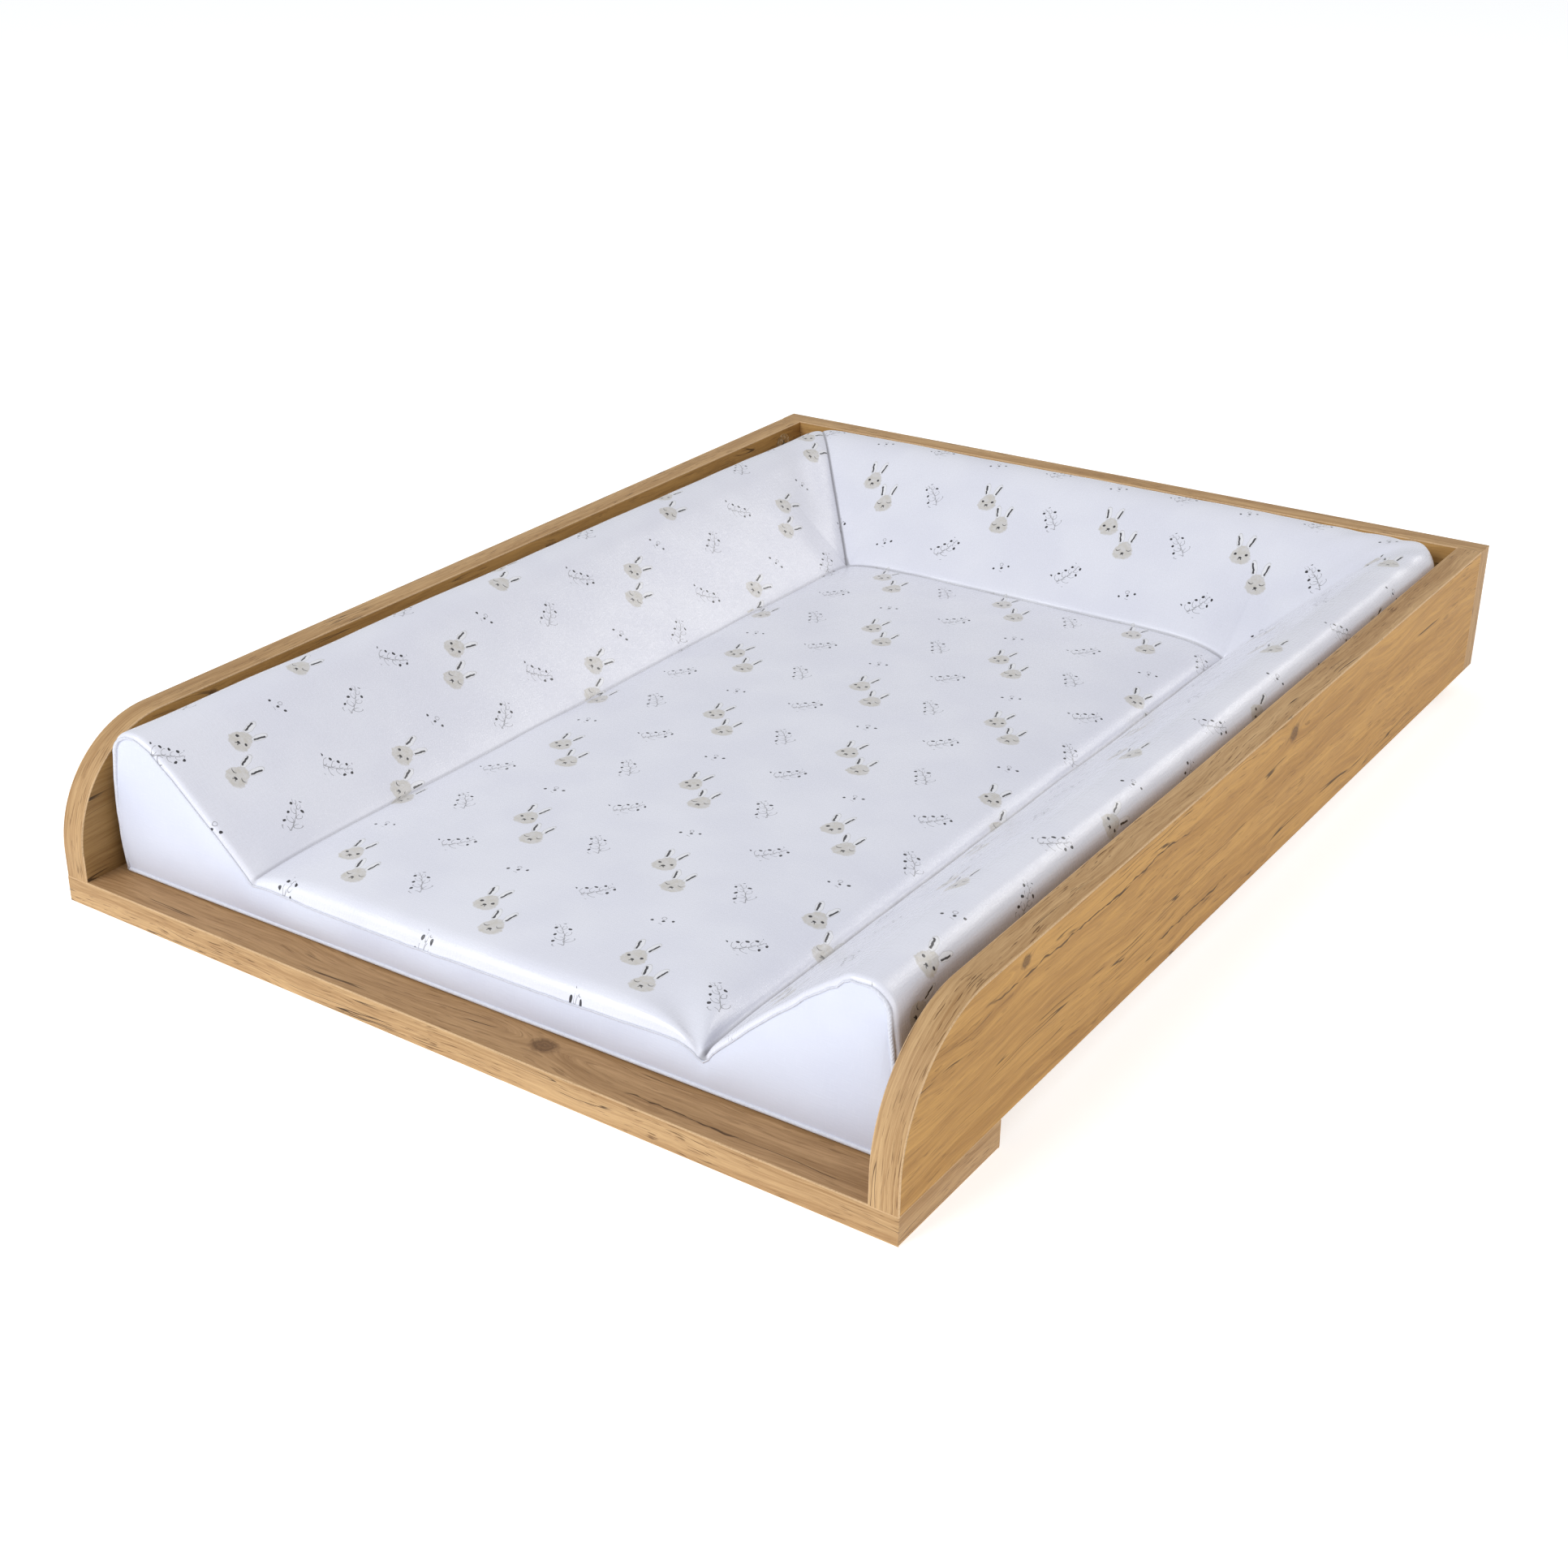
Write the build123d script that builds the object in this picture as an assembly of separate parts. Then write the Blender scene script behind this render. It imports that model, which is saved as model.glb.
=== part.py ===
from build123d import *
import os

# Changing-top tray with a three-wedge changing pad lying in it.
# Millimetres. +Z is up, the open front faces -Y and the back panel is at +Y.
# The origin is the centre of the footprint, on the underside of the front board.
# The side and back panels stand one board thickness higher, on the furniture's top,
# so the front board hangs in front of the furniture's front edge.

# Tray
tray_width = 544.0
tray_depth = 748.0
tray_height = 100.0
board = 16.0  # thickness of every board
band = 0.8  # thickness of the edge bands
front_board_depth = 92.0
corner_radius = 68.0  # front top corner of the side panels

# Knock-down fittings
cam_radius = 7.45
cam_bore_radius = 7.5
cam_length = 12.5
cam_bore_depth = 12.9
cam_rim_radius = 8.2
cam_rim_thickness = 0.7
cam_rim_gap = 0.05
cam_setback = 24.0  # from the back panel's front face to the cam's axis
cam_edge_distance = 12.0  # from a side panel's top or bottom edge to the cam's axis
cam_turn = 190.0  # degrees from locked to open
bolt_bore_radius = 4.0
bolt_thread_radius = 3.1
bolt_thread_length = 11.0
dowel_radius = 4.0
dowel_length = 30.0
dowel_in_face = 11.0  # length of a dowel that sits in the face of a board
screw_radius = 3.4
screw_head_radius = 5.0
screw_length = 50.0
screw_head_face = 0.2  # how far the head is sunk below the board's underside
screw_head_rim = 0.5
screw_head_depth = 3.0
screw_setbacks = (24.0, 70.0)  # from the front edge
dowel_setback = 47.0
bore_spare = 1.0  # how much deeper a bore is than what sits in it

# Pad
pad_half_width = 247.0
pad_front = -346.0
pad_rear = 353.0
pad_base = board  # it lies on the front board and on the furniture's top
slab_top = 44.0  # lying surface
wedge_top = 104.0
wedge_foot = 102.0  # width of a side wedge where it leaves the lying surface
wedge_crest = 26.0  # width of its flat crest
back_wedge_foot = 113.0
cover = 1.0  # thickness of the coated fabric
welt_out = 1.0  # how far a welt stands out of the cover
welt_in = 1.5  # how far it laps over the end panel
welt_thickness = 1.5
base_welt_height = 2.5

# Places that follow from these
tray_half = tray_width / 2
tray_front = -tray_depth / 2
tray_rear = tray_depth / 2
panel_rear = tray_rear - board  # front face of the back panel
board_rear = tray_front + front_board_depth
inner_face = tray_half - board
mid_panel = tray_half - board / 2
cam_heights = (board + cam_edge_distance, tray_height - cam_edge_distance)
cam_y = panel_rear - cam_setback
valley_x = pad_half_width - wedge_foot
valley_y = pad_rear - back_wedge_foot
back_wedge_crest = wedge_crest * back_wedge_foot / wedge_foot  # same pitch at the mitre

LEFT = -1
RIGHT = 1
UP = (0, 0, 1)


def block(x, y, z):
    """A box between the given pairs of coordinates."""
    centre = Pos(sum(x) / 2, sum(y) / 2, sum(z) / 2)
    return centre * Box(x[1] - x[0], y[1] - y[0], z[1] - z[0])


def turned(profile, origin, direction):
    """A turned piece: (radius, distance) points spun about an axis from origin."""
    points = [(0, profile[0][1])] + profile + [(0, profile[-1][1])]
    face = make_face(Plane.XZ * Polyline(*points, close=True))
    return Plane(origin=origin, z_dir=direction) * revolve(face, Axis.Z)


def bore(radius, depth, origin, direction):
    """The cylinder that a drilled hole removes."""
    return turned([(radius, 0), (radius, depth)], origin, direction)


# Fittings -----------------------------------------------------------------

def cam_origin(side, height):
    return (side * inner_face, cam_y, height)


def cam(side, height):
    """Rimmed zinc cam, drawn locked. Its axis points out of the side panel's inner face,
    and its local X points at the bolt. The bolt's neck runs in the wall slot as it turns."""
    bolt_depth = -board / 2
    head_room = 3.7
    neck_room = 2.2
    entry_radius = 3.65
    cavity_radius = 5.25
    eccentric = 0.35  # the cavity is nearest to the bolt when locked, and draws it in
    slot_spare = 45  # degrees past each end of the turn
    wall_arc = 360 - cam_turn - 2 * slot_spare
    recess_length = 7.0
    recess_width = 1.5
    recess_depth = 3.2
    arrow_tip = 7.4
    arrow_foot = 5.2
    arrow_depth = 0.4
    face = cam_rim_gap + cam_rim_thickness

    outline = [(cam_radius, -cam_length), (cam_radius, cam_rim_gap)]
    outline += [(cam_rim_radius, cam_rim_gap), (cam_rim_radius, face)]
    body = turned(outline, (0, 0, 0), UP)

    cavity = Pos(-eccentric, 0, bolt_depth) * Cylinder(cavity_radius, 2 * head_room)
    reach = cam_radius + 1
    on_axis = (Align.NONE, Align.NONE, Align.CENTER)
    wall = Cylinder(reach, 2 * neck_room, arc_size=wall_arc, align=on_axis)
    slot = Cylinder(reach, 2 * neck_room) - Rot(0, 0, slot_spare) * wall
    entry = Rot(0, 0, -cam_turn) * Pos(reach / 2, 0, 0) * Rot(0, 90, 0) * Cylinder(
        entry_radius, reach)
    body -= Pos(0, 0, bolt_depth) * slot
    body -= cavity
    body -= Pos(0, 0, bolt_depth) * entry

    bar = Box(recess_length, recess_width, recess_depth)
    cross = Pos(0, 0, face - recess_depth / 2) * (bar + Rot(0, 0, 90) * bar)
    corners = [(arrow_tip, 0), (arrow_foot, 1), (arrow_foot, -1)]
    arrow = extrude(Polygon(*corners, align=None), arrow_depth)
    body -= cross + Rot(0, 0, -cam_turn) * Pos(0, 0, face - arrow_depth) * arrow

    place = Plane(origin=cam_origin(side, height), x_dir=(0, 1, 0), z_dir=(-side, 0, 0))
    return place * body


def cam_bolt(side, height):
    """Bolt in the back panel's face: ribbed thread, collar, shank, neck and head."""
    root_radius = 2.4
    ribs = 4
    rib_pitch = 2.4
    rib_rise = 0.9
    first_rib = 0.6 - bolt_thread_length
    collar_radius = 3.8
    collar_end = 1.2
    shank_radius = 3.0
    shank_end = 16.0
    neck_radius = 2.0
    neck_taper = 0.6
    neck_end = 20.0
    head_radius = 3.5
    head_end = 23.0
    bevel = 0.4

    profile = [(root_radius, -bolt_thread_length)]
    for step in range(ribs):
        low = first_rib + rib_pitch * step
        peak = low + rib_rise
        profile += [(root_radius, low), (bolt_thread_radius, peak), (root_radius, peak + rib_rise)]
    profile += [(root_radius, 0), (collar_radius, 0), (collar_radius, collar_end)]
    profile += [(shank_radius, collar_end + bevel), (shank_radius, shank_end)]
    profile += [(neck_radius, shank_end + neck_taper), (neck_radius, neck_end)]
    profile += [(head_radius - bevel, neck_end), (head_radius, neck_end + bevel)]
    profile += [(head_radius, head_end - bevel), (head_radius - bevel, head_end)]
    return turned(profile, (side * mid_panel, panel_rear, height), (0, -1, 0))


def dowel(origin, direction):
    """Beech dowel with chamfered ends, drawn from its end in the face of a board."""
    chamfer_size = 1.0
    tip = dowel_radius - chamfer_size
    profile = [
        (tip, -dowel_in_face),
        (dowel_radius, chamfer_size - dowel_in_face),
        (dowel_radius, dowel_length - dowel_in_face - chamfer_size),
        (tip, dowel_length - dowel_in_face),
    ]
    return turned(profile, origin, direction)


def connecting_screw(side, y):
    """Countersunk connecting screw with a hexagon socket, driven up through the board."""
    shank_end = board - 2.0
    thread_root = 2.5
    ribs = 9
    tip_radius = 1.0
    thread_end = screw_length - 4.0
    socket_radius = 2.3
    socket_end = screw_head_face + 2.4

    profile = [(screw_head_radius, screw_head_face)]
    profile += [(screw_head_radius, screw_head_face + screw_head_rim)]
    profile += [(screw_radius, screw_head_depth), (screw_radius, shank_end)]
    pitch = (thread_end - shank_end) / ribs
    for step in range(ribs):
        low = shank_end + pitch * step
        profile += [(thread_root, low), (screw_radius, low + pitch / 2)]
    profile += [(thread_root, thread_end), (tip_radius, screw_length)]
    screw = turned(profile, (side * mid_panel, y, 0), UP)
    socket = extrude(RegularPolygon(socket_radius, 6), socket_end)
    return screw - Pos(side * mid_panel, y, 0) * socket


def group(solids):
    """Identical fasteners that share one node, as separate solids."""
    return Compound(children=[solid for solid in solids])


# Tray ---------------------------------------------------------------------

def side_outline(inset):
    """Side panel seen from the side: its front top corner is a quarter round."""
    front = tray_front + inset
    top = tray_height - inset
    radius = corner_radius - inset
    lines = [
        Line((front, top - radius), (front, board)),
        Line((front, board), (panel_rear, board)),
        Line((panel_rear, board), (panel_rear, top)),
        Line((panel_rear, top), (front + radius, top)),
        CenterArc((front + radius, top - radius), radius, 90, 90),
    ]
    return make_face(Curve() + lines)


def side_panel(side):
    """Side panel without its band, drilled for cams, bolts, dowels and screws."""
    low_x = min(side * tray_half, side * inner_face)
    panel = extrude(Plane.YZ.offset(low_x) * side_outline(band), board)
    rear_end = (side * mid_panel, panel_rear)
    for height in cam_heights:
        panel -= bore(cam_bore_radius, cam_bore_depth, cam_origin(side, height), (side, 0, 0))
        panel -= bore(bolt_bore_radius, cam_setback, (*rear_end, height), (0, -1, 0))
    dowel_depth = dowel_length - dowel_in_face + bore_spare
    screw_depth = screw_length - board + bore_spare
    middle = sum(cam_heights) / 2
    panel -= bore(dowel_radius, dowel_depth, (*rear_end, middle), (0, -1, 0))
    panel -= bore(dowel_radius, dowel_depth, (*foot(side, dowel_setback), board), UP)
    for setback in screw_setbacks:
        panel -= bore(screw_radius, screw_depth, (*foot(side, setback), board), UP)
    return panel


def side_band(side):
    """One bent strip: up the front edge, round the corner and back along the top."""
    low_x = min(side * tray_half, side * inner_face)
    strip = side_outline(0) - side_outline(band)
    return extrude(Plane.YZ.offset(low_x) * strip, board)


def foot(side, setback):
    """Plan position of a fitting under a side panel's front end."""
    return (side * mid_panel, tray_front + setback)


def front_board():
    core = block((band - tray_half, tray_half - band), (tray_front + band, board_rear - band),
                 (0, board))
    for side in (LEFT, RIGHT):
        place = (*foot(side, dowel_setback), board)
        core -= bore(dowel_radius, dowel_in_face + bore_spare, place, (0, 0, -1))
        for setback in screw_setbacks:
            hole = [(screw_head_radius, -bore_spare)]
            hole += [(screw_head_radius, screw_head_face + screw_head_rim)]
            hole += [(screw_radius, screw_head_depth), (screw_radius, board + bore_spare)]
            core -= turned(hole, (*foot(side, setback), 0), UP)
    return core


def back_panel():
    core = block((band - tray_half, tray_half - band), (panel_rear, tray_rear),
                 (board, tray_height - band))
    into = (0, 1, 0)
    thread_depth = bolt_thread_length + bore_spare
    dowel_depth = dowel_in_face + bore_spare
    middle = sum(cam_heights) / 2
    for side in (LEFT, RIGHT):
        for height in cam_heights:
            place = (side * mid_panel, panel_rear, height)
            core -= bore(bolt_thread_radius, thread_depth, place, into)
        core -= bore(dowel_radius, dowel_depth, (side * mid_panel, panel_rear, middle), into)
    return core


def front_board_bands():
    """Long bands front and rear, and short ones between them at the ends."""
    across = (-tray_half, tray_half)
    between = (tray_front + band, board_rear - band)
    thick = (0, board)
    return {
        "front_board_front_band": block(across, (tray_front, tray_front + band), thick),
        "front_board_rear_band": block(across, (board_rear - band, board_rear), thick),
        "front_board_left_band": block((-tray_half, band - tray_half), between, thick),
        "front_board_right_band": block((tray_half - band, tray_half), between, thick),
    }


def back_bands():
    across = (-tray_half, tray_half)
    deep = (panel_rear, tray_rear)
    tall = (board, tray_height - band)
    return {
        "back_band_top": block(across, deep, (tray_height - band, tray_height)),
        "back_band_left": block((-tray_half, band - tray_half), deep, tall),
        "back_band_right": block((tray_half - band, tray_half), deep, tall),
    }


def all_dowels():
    """One dowel at each end of the back panel and one under each side panel."""
    middle = sum(cam_heights) / 2
    for side in (LEFT, RIGHT):
        yield dowel((side * mid_panel, panel_rear, middle), (0, -1, 0))
        yield dowel((*foot(side, dowel_setback), board), UP)


# Pad ----------------------------------------------------------------------

def pad_section(inset):
    """Pad seen from the front: flat slab between two wedges."""
    crest_x = pad_half_width - wedge_crest
    points = [
        (-pad_half_width, pad_base),
        (pad_half_width, pad_base),
        (pad_half_width, wedge_top),
        (crest_x, wedge_top),
        (valley_x, slab_top),
        (-valley_x, slab_top),
        (-crest_x, wedge_top),
        (-pad_half_width, wedge_top),
    ]
    face = make_face(Polyline(*points, close=True))
    return offset(face, amount=-inset, kind=Kind.INTERSECTION) if inset else face


def back_section(inset):
    """Back wedge seen from the side."""
    points = [
        (valley_y, pad_base),
        (pad_rear, pad_base),
        (pad_rear, wedge_top),
        (pad_rear - back_wedge_crest, wedge_top),
        (valley_y, slab_top),
    ]
    face = make_face(Polyline(*points, close=True))
    return offset(face, amount=-inset, kind=Kind.INTERSECTION) if inset else face


def across_plane(y):
    """Plane that faces the front at y, with its local axes along +X and +Z."""
    return Plane(origin=(0, y, 0), x_dir=(1, 0, 0), z_dir=(0, -1, 0))


def pad_form(inset):
    """The pad's whole form, or its foam filling when inset by the cover's thickness."""
    length = pad_rear - pad_front - 2 * inset
    half = pad_half_width - inset
    long_part = extrude(across_plane(pad_rear - inset) * pad_section(inset), length)
    back_part = extrude(Plane.YZ.offset(-half) * back_section(inset), 2 * half)
    return long_part + back_part


def pad_cover(form, filling):
    """Cover in four sheets: printed top, white end panels and base."""
    wide = (-tray_half, tray_half)
    long = (tray_front, tray_rear)
    base_top = pad_base + cover
    above_base = (base_top, wedge_top + cover)
    between_ends = block(wide, (pad_front + cover, pad_rear - cover), above_base)
    return {
        "pad_top_sheet": (form - filling) & between_ends,
        "pad_front_panel": form & block(wide, (tray_front, pad_front + cover), above_base),
        "pad_rear_panel": form & block(wide, (pad_rear - cover, tray_rear), above_base),
        "pad_base_sheet": form & block(wide, long, (0, base_top)),
    }


def end_welt(y, section):
    """Welt round an end panel, over both wedges and down to the base welt."""
    line = offset(section, amount=welt_out, kind=Kind.INTERSECTION)
    line -= offset(section, amount=-welt_in, kind=Kind.INTERSECTION)
    ring = extrude(across_plane(y) * line, welt_thickness)
    above = (pad_base + base_welt_height, wedge_top + 2 * welt_out)
    return ring & block((-tray_half, tray_half), (tray_front, tray_rear), above)


def rear_section():
    """The rear panel is a plain rectangle, because the back wedge fills its middle."""
    high = wedge_top - pad_base
    return Pos(0, pad_base + high / 2) * Rectangle(2 * pad_half_width, high)


def base_welt():
    """Welt round the base."""
    tall = (pad_base, pad_base + base_welt_height)
    half = pad_half_width + welt_out
    ends = (pad_front - welt_thickness, pad_rear + welt_thickness)
    inside = block((-pad_half_width, pad_half_width), (pad_front, pad_rear), tall)
    return block((-half, half), ends, tall) - inside


def foam(filling):
    """Flat slab with three wedges glued on it, mitred at the back corners."""
    slab_plane = slab_top - cover
    high = wedge_top - slab_plane
    slab = filling & block((-tray_half, tray_half), (tray_front, tray_rear), (0, slab_plane))
    side_plan = [
        (-pad_half_width, pad_front),
        (-valley_x, pad_front),
        (-valley_x, valley_y),
        (-pad_half_width, pad_rear),
    ]
    prism = extrude(Pos(0, 0, slab_plane) * Polygon(*side_plan, align=None), high)
    left = filling & prism
    above = filling - block((-tray_half, tray_half), (tray_front, tray_rear), (0, slab_plane))
    right_prism = mirror(prism, about=Plane.YZ)
    right = filling & right_prism
    return {
        "foam_base_slab": slab,
        "foam_wedge_left": left,
        "foam_wedge_right": right,
        "foam_wedge_back": above - prism - right_prism,
    }


def make_nodes():
    form = pad_form(0)
    filling = pad_form(cover)
    nodes = {
        "front_board": front_board(),
        **front_board_bands(),
        "side_panel_left": side_panel(LEFT),
        "side_panel_right": side_panel(RIGHT),
        "side_band_left": side_band(LEFT),
        "side_band_right": side_band(RIGHT),
        "back_panel": back_panel(),
        **back_bands(),
        "wooden_dowels": group(all_dowels()),
        "cam_bolts": group(
            cam_bolt(side, height) for side in (LEFT, RIGHT) for height in cam_heights),
        "connecting_screws": group(
            connecting_screw(side, tray_front + setback)
            for side in (LEFT, RIGHT) for setback in screw_setbacks),
        **pad_cover(form, filling),
        "pad_front_welt": end_welt(pad_front, pad_section(0)),
        "pad_rear_welt": end_welt(pad_rear + welt_thickness, rear_section()),
        "pad_base_welt": base_welt(),
        **foam(filling),
    }
    for side, word in ((LEFT, "left"), (RIGHT, "right")):
        for height, level in zip(cam_heights, ("lower", "upper")):
            nodes[f"cam_{word}_{level}"] = cam(side, height)
    return nodes


os.makedirs("parts", exist_ok=True)
for name, shape in make_nodes().items():
    export_step(shape, f"parts/{name}.step")
    print(name, round(shape.volume / 1000, 2), "cm3")
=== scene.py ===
# %% [markdown]
# # A changing pad in its wooden tray
# The object is a three-wedge changing pad lying in a low tray of decor board. The tray's hard
# parts come from the CAD model and keep their shape. Everything that is soft, and the thin plastic
# edge bands with their rounded corners, is built here around that frame.

# %% Load the fixed frame
import math

import bpy
import numpy as np
from mathutils import Matrix, Vector, noise


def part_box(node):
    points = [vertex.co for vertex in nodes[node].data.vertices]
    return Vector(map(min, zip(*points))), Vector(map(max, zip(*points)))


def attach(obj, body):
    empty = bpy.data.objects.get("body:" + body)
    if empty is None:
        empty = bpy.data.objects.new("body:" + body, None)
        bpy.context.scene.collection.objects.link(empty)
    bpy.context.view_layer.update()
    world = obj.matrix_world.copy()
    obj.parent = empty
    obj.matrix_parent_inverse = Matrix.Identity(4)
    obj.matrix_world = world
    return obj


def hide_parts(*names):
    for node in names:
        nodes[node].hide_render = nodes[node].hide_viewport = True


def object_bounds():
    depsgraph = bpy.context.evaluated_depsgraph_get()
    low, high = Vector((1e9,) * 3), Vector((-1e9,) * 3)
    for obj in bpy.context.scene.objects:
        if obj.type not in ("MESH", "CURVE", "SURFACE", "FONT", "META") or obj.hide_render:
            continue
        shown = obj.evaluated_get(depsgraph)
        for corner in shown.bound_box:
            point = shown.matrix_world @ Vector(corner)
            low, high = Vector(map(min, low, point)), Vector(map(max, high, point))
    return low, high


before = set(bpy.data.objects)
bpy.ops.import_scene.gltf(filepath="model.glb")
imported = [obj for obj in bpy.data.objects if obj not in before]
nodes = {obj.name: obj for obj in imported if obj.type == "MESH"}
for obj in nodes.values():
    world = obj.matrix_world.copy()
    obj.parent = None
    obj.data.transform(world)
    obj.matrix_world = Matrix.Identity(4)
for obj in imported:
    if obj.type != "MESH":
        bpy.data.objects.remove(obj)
cad_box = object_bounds()
mm = 0.001
print("CAD nodes:", len(nodes), "box:", [round(c, 3) for c in (*cad_box[0], *cad_box[1])])

# %% [markdown]
# ## Camera
# The tray is seen from its right front corner, a little above. A lens of about 50 mm at more than
# a metre keeps the boards' lines calm. The small roll and shift only place the object in the
# frame.

# %% Camera
def new_object(name, data):
    thing = bpy.data.objects.new(name, data)
    bpy.context.scene.collection.objects.link(thing)
    return thing


def turned_axes(azimuth, elevation, roll):
    """Right, up and back directions of a camera, from angles in degrees."""
    a, e, r = (math.radians(angle) for angle in (azimuth, elevation, roll))
    back = Vector((math.sin(a) * math.cos(e), -math.cos(a) * math.cos(e), math.sin(e)))
    right = Vector((math.cos(a), math.sin(a), 0))
    up = back.cross(right)
    return (
        right * math.cos(r) + up * math.sin(r),
        up * math.cos(r) - right * math.sin(r),
        back,
    )


camera_place = Vector((0.6590, -1.0644, 0.6090))
camera = new_object("studio_camera", bpy.data.cameras.new("studio_camera"))
bpy.context.scene.camera = camera
axes = Matrix(turned_axes(azimuth=37.386, elevation=25.889, roll=-1.127)).transposed()
camera.matrix_world = Matrix.Translation(camera_place) @ axes.to_4x4()
camera.data.sensor_width = 36.0
camera.data.lens = 51.12
camera.data.shift_x = 0.0968
camera.data.shift_y = -0.0019
camera.data.clip_end = 60.0
print("camera at", [round(c, 3) for c in camera.location])

# %% [markdown]
# ## Wiring helper
# Every finish is a node tree. Wiring keeps one call per node, so that a recipe reads from top to
# bottom. A value or colour that is the same all over goes straight onto the shader's own socket.

# %% Node helper
class Wiring:
    """Adds nodes to one shader tree. A socket given as a value is linked, anything else is set."""

    def __init__(self, tree):
        self.tree = tree

    def put(self, kind, inputs=None, **settings):
        node = self.tree.nodes.new(kind)
        for name, value in settings.items():
            setattr(node, name, value)
        for name, value in (inputs or {}).items():
            self.feed(node.inputs[name], value)
        return node

    def feed(self, socket, value):
        if isinstance(value, bpy.types.NodeSocket):
            self.tree.links.new(value, socket)
        else:
            socket.default_value = value

    def math(self, operation, *values, clamp=False):
        inputs = dict(enumerate(values))
        node = self.put("ShaderNodeMath", inputs, operation=operation, use_clamp=clamp)
        return node.outputs[0]

    def times(self, first, second):
        return self.math("MULTIPLY", first, second)

    def minus(self, first, second, clamp=False):
        return self.math("SUBTRACT", first, second, clamp=clamp)

    def larger(self, first, second):
        return self.math("MAXIMUM", first, second)

    def vector(self, operation, *values):
        node = self.put("ShaderNodeVectorMath", dict(enumerate(values)), operation=operation)
        one_number = operation in ("LENGTH", "DISTANCE", "DOT_PRODUCT")
        return node.outputs["Value" if one_number else "Vector"]

    def split(self, vector):
        return self.put("ShaderNodeSeparateXYZ", {0: vector}).outputs

    def join(self, x=0.0, y=0.0, z=0.0):
        return self.put("ShaderNodeCombineXYZ", {0: x, 1: y, 2: z}).outputs[0]

    def noise(self, vector, detail=2.0, roughness=0.5, stretch=None):
        """Soft noise. A small number in stretch draws it out along that axis."""
        if stretch:
            vector = self.vector("MULTIPLY", vector, stretch)
        inputs = {"Vector": vector, "Scale": 1.0, "Detail": detail, "Roughness": roughness}
        return self.put("ShaderNodeTexNoise", inputs).outputs[0]

    def spread(self, value, low, high, start=0.0, end=1.0):
        """Value between low and high, smoothly, as a number from start to end."""
        inputs = {"Value": value, "From Min": low, "From Max": high, "To Min": start, "To Max": end}
        return self.put("ShaderNodeMapRange", inputs, interpolation_type="SMOOTHSTEP").outputs[0]

    def blend(self, share, first, second, kind="MIX"):
        node = self.put("ShaderNodeMix", data_type="RGBA", blend_type=kind)
        self.feed(node.inputs[0], share)
        self.feed(node.inputs[6], first)
        self.feed(node.inputs[7], second)
        return node.outputs[2]

    def use(self, group, **inputs):
        """Places a node group. Spaces in its sockets' names are underscores here."""
        node = self.put("ShaderNodeGroup", node_tree=group)
        for name, value in inputs.items():
            self.feed(node.inputs[name.replace("_", " ")], value)
        return node.outputs

    def millimetres(self):
        """Place on the object, in millimetres."""
        place = self.put("ShaderNodeTexCoord").outputs["Object"]
        return self.vector("MULTIPLY", place, (1000, 1000, 1000))

    def paint(self, shader, colour, roughness=None):
        self.feed(shader.inputs["Base Color"], colour)
        if roughness is not None:
            self.feed(shader.inputs["Roughness"], roughness)

    def emboss(self, shader, height, strength, distance):
        """Bump on a shader's normal."""
        inputs = {"Strength": strength, "Distance": distance, "Height": height}
        self.feed(shader.inputs["Normal"], self.put("ShaderNodeBump", inputs).outputs["Normal"])


def new_group(name, takes, gives):
    """A shader node group: its wiring, its incoming sockets and its outgoing ones."""
    tree = bpy.data.node_groups.new(name, "ShaderNodeTree")
    kinds = {"vector": "NodeSocketVector", "colour": "NodeSocketColor", "value": "NodeSocketFloat"}
    for title, (kind, start) in takes.items():
        socket = tree.interface.new_socket(name=title, in_out="INPUT", socket_type=kinds[kind])
        socket.default_value = start
    for title, kind in gives.items():
        tree.interface.new_socket(name=title, in_out="OUTPUT", socket_type=kinds[kind])
    incoming = tree.nodes.new("NodeGroupInput").outputs
    outgoing = tree.nodes.new("NodeGroupOutput").inputs
    return Wiring(tree), incoming, outgoing


def new_finish(name, **shader_values):
    """A material: its wiring and its Principled shader, with the plain values set on it."""
    material = bpy.data.materials.new(name)
    material.use_nodes = True
    wiring = Wiring(material.node_tree)
    shader = material.node_tree.nodes["Principled BSDF"]
    for title, value in shader_values.items():
        shader.inputs[title.replace("_", " ")].default_value = value
    return material, wiring, shader


def srgb(red, green, blue):
    """A colour picked as 0 to 255 steps on a screen, as the linear values that shaders use."""
    steps = [c / 255 for c in (red, green, blue)]
    return (*[c / 12.92 if c <= 0.04045 else ((c + 0.055) / 1.055) ** 2.4 for c in steps], 1.0)


print("helpers ready")

# %% [markdown]
# ## Studio
# A plain pale floor at the object's lowest point, an even white surround, one large soft light
# high in front, a weaker warm one from the right, and a strip behind on the right that draws the
# gloss along the coated fabric's rounded crest. The floor glows a little, so that it stays white
# under the object.

# %% Floor and lights
bpy.context.scene.view_settings.view_transform = "Standard"
floor_half = 20.0
floor_mesh = bpy.data.meshes.new("studio_floor")
floor_signs = ((-1, -1), (1, -1), (1, 1), (-1, 1))
floor_corners = [(floor_half * x, floor_half * y, 0) for x, y in floor_signs]
floor_mesh.from_pydata(floor_corners, [], [(0, 1, 2, 3)])
floor = new_object("studio_floor", floor_mesh)
floor.location.z = cad_box[0].z
floor_paint, _, shader = new_finish("pale floor", Roughness=0.9, Emission_Strength=0.45)
shader.inputs["Base Color"].default_value = srgb(250, 250, 250)
shader.inputs["Emission Color"].default_value = srgb(255, 255, 255)
floor_mesh.materials.append(floor_paint)

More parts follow.
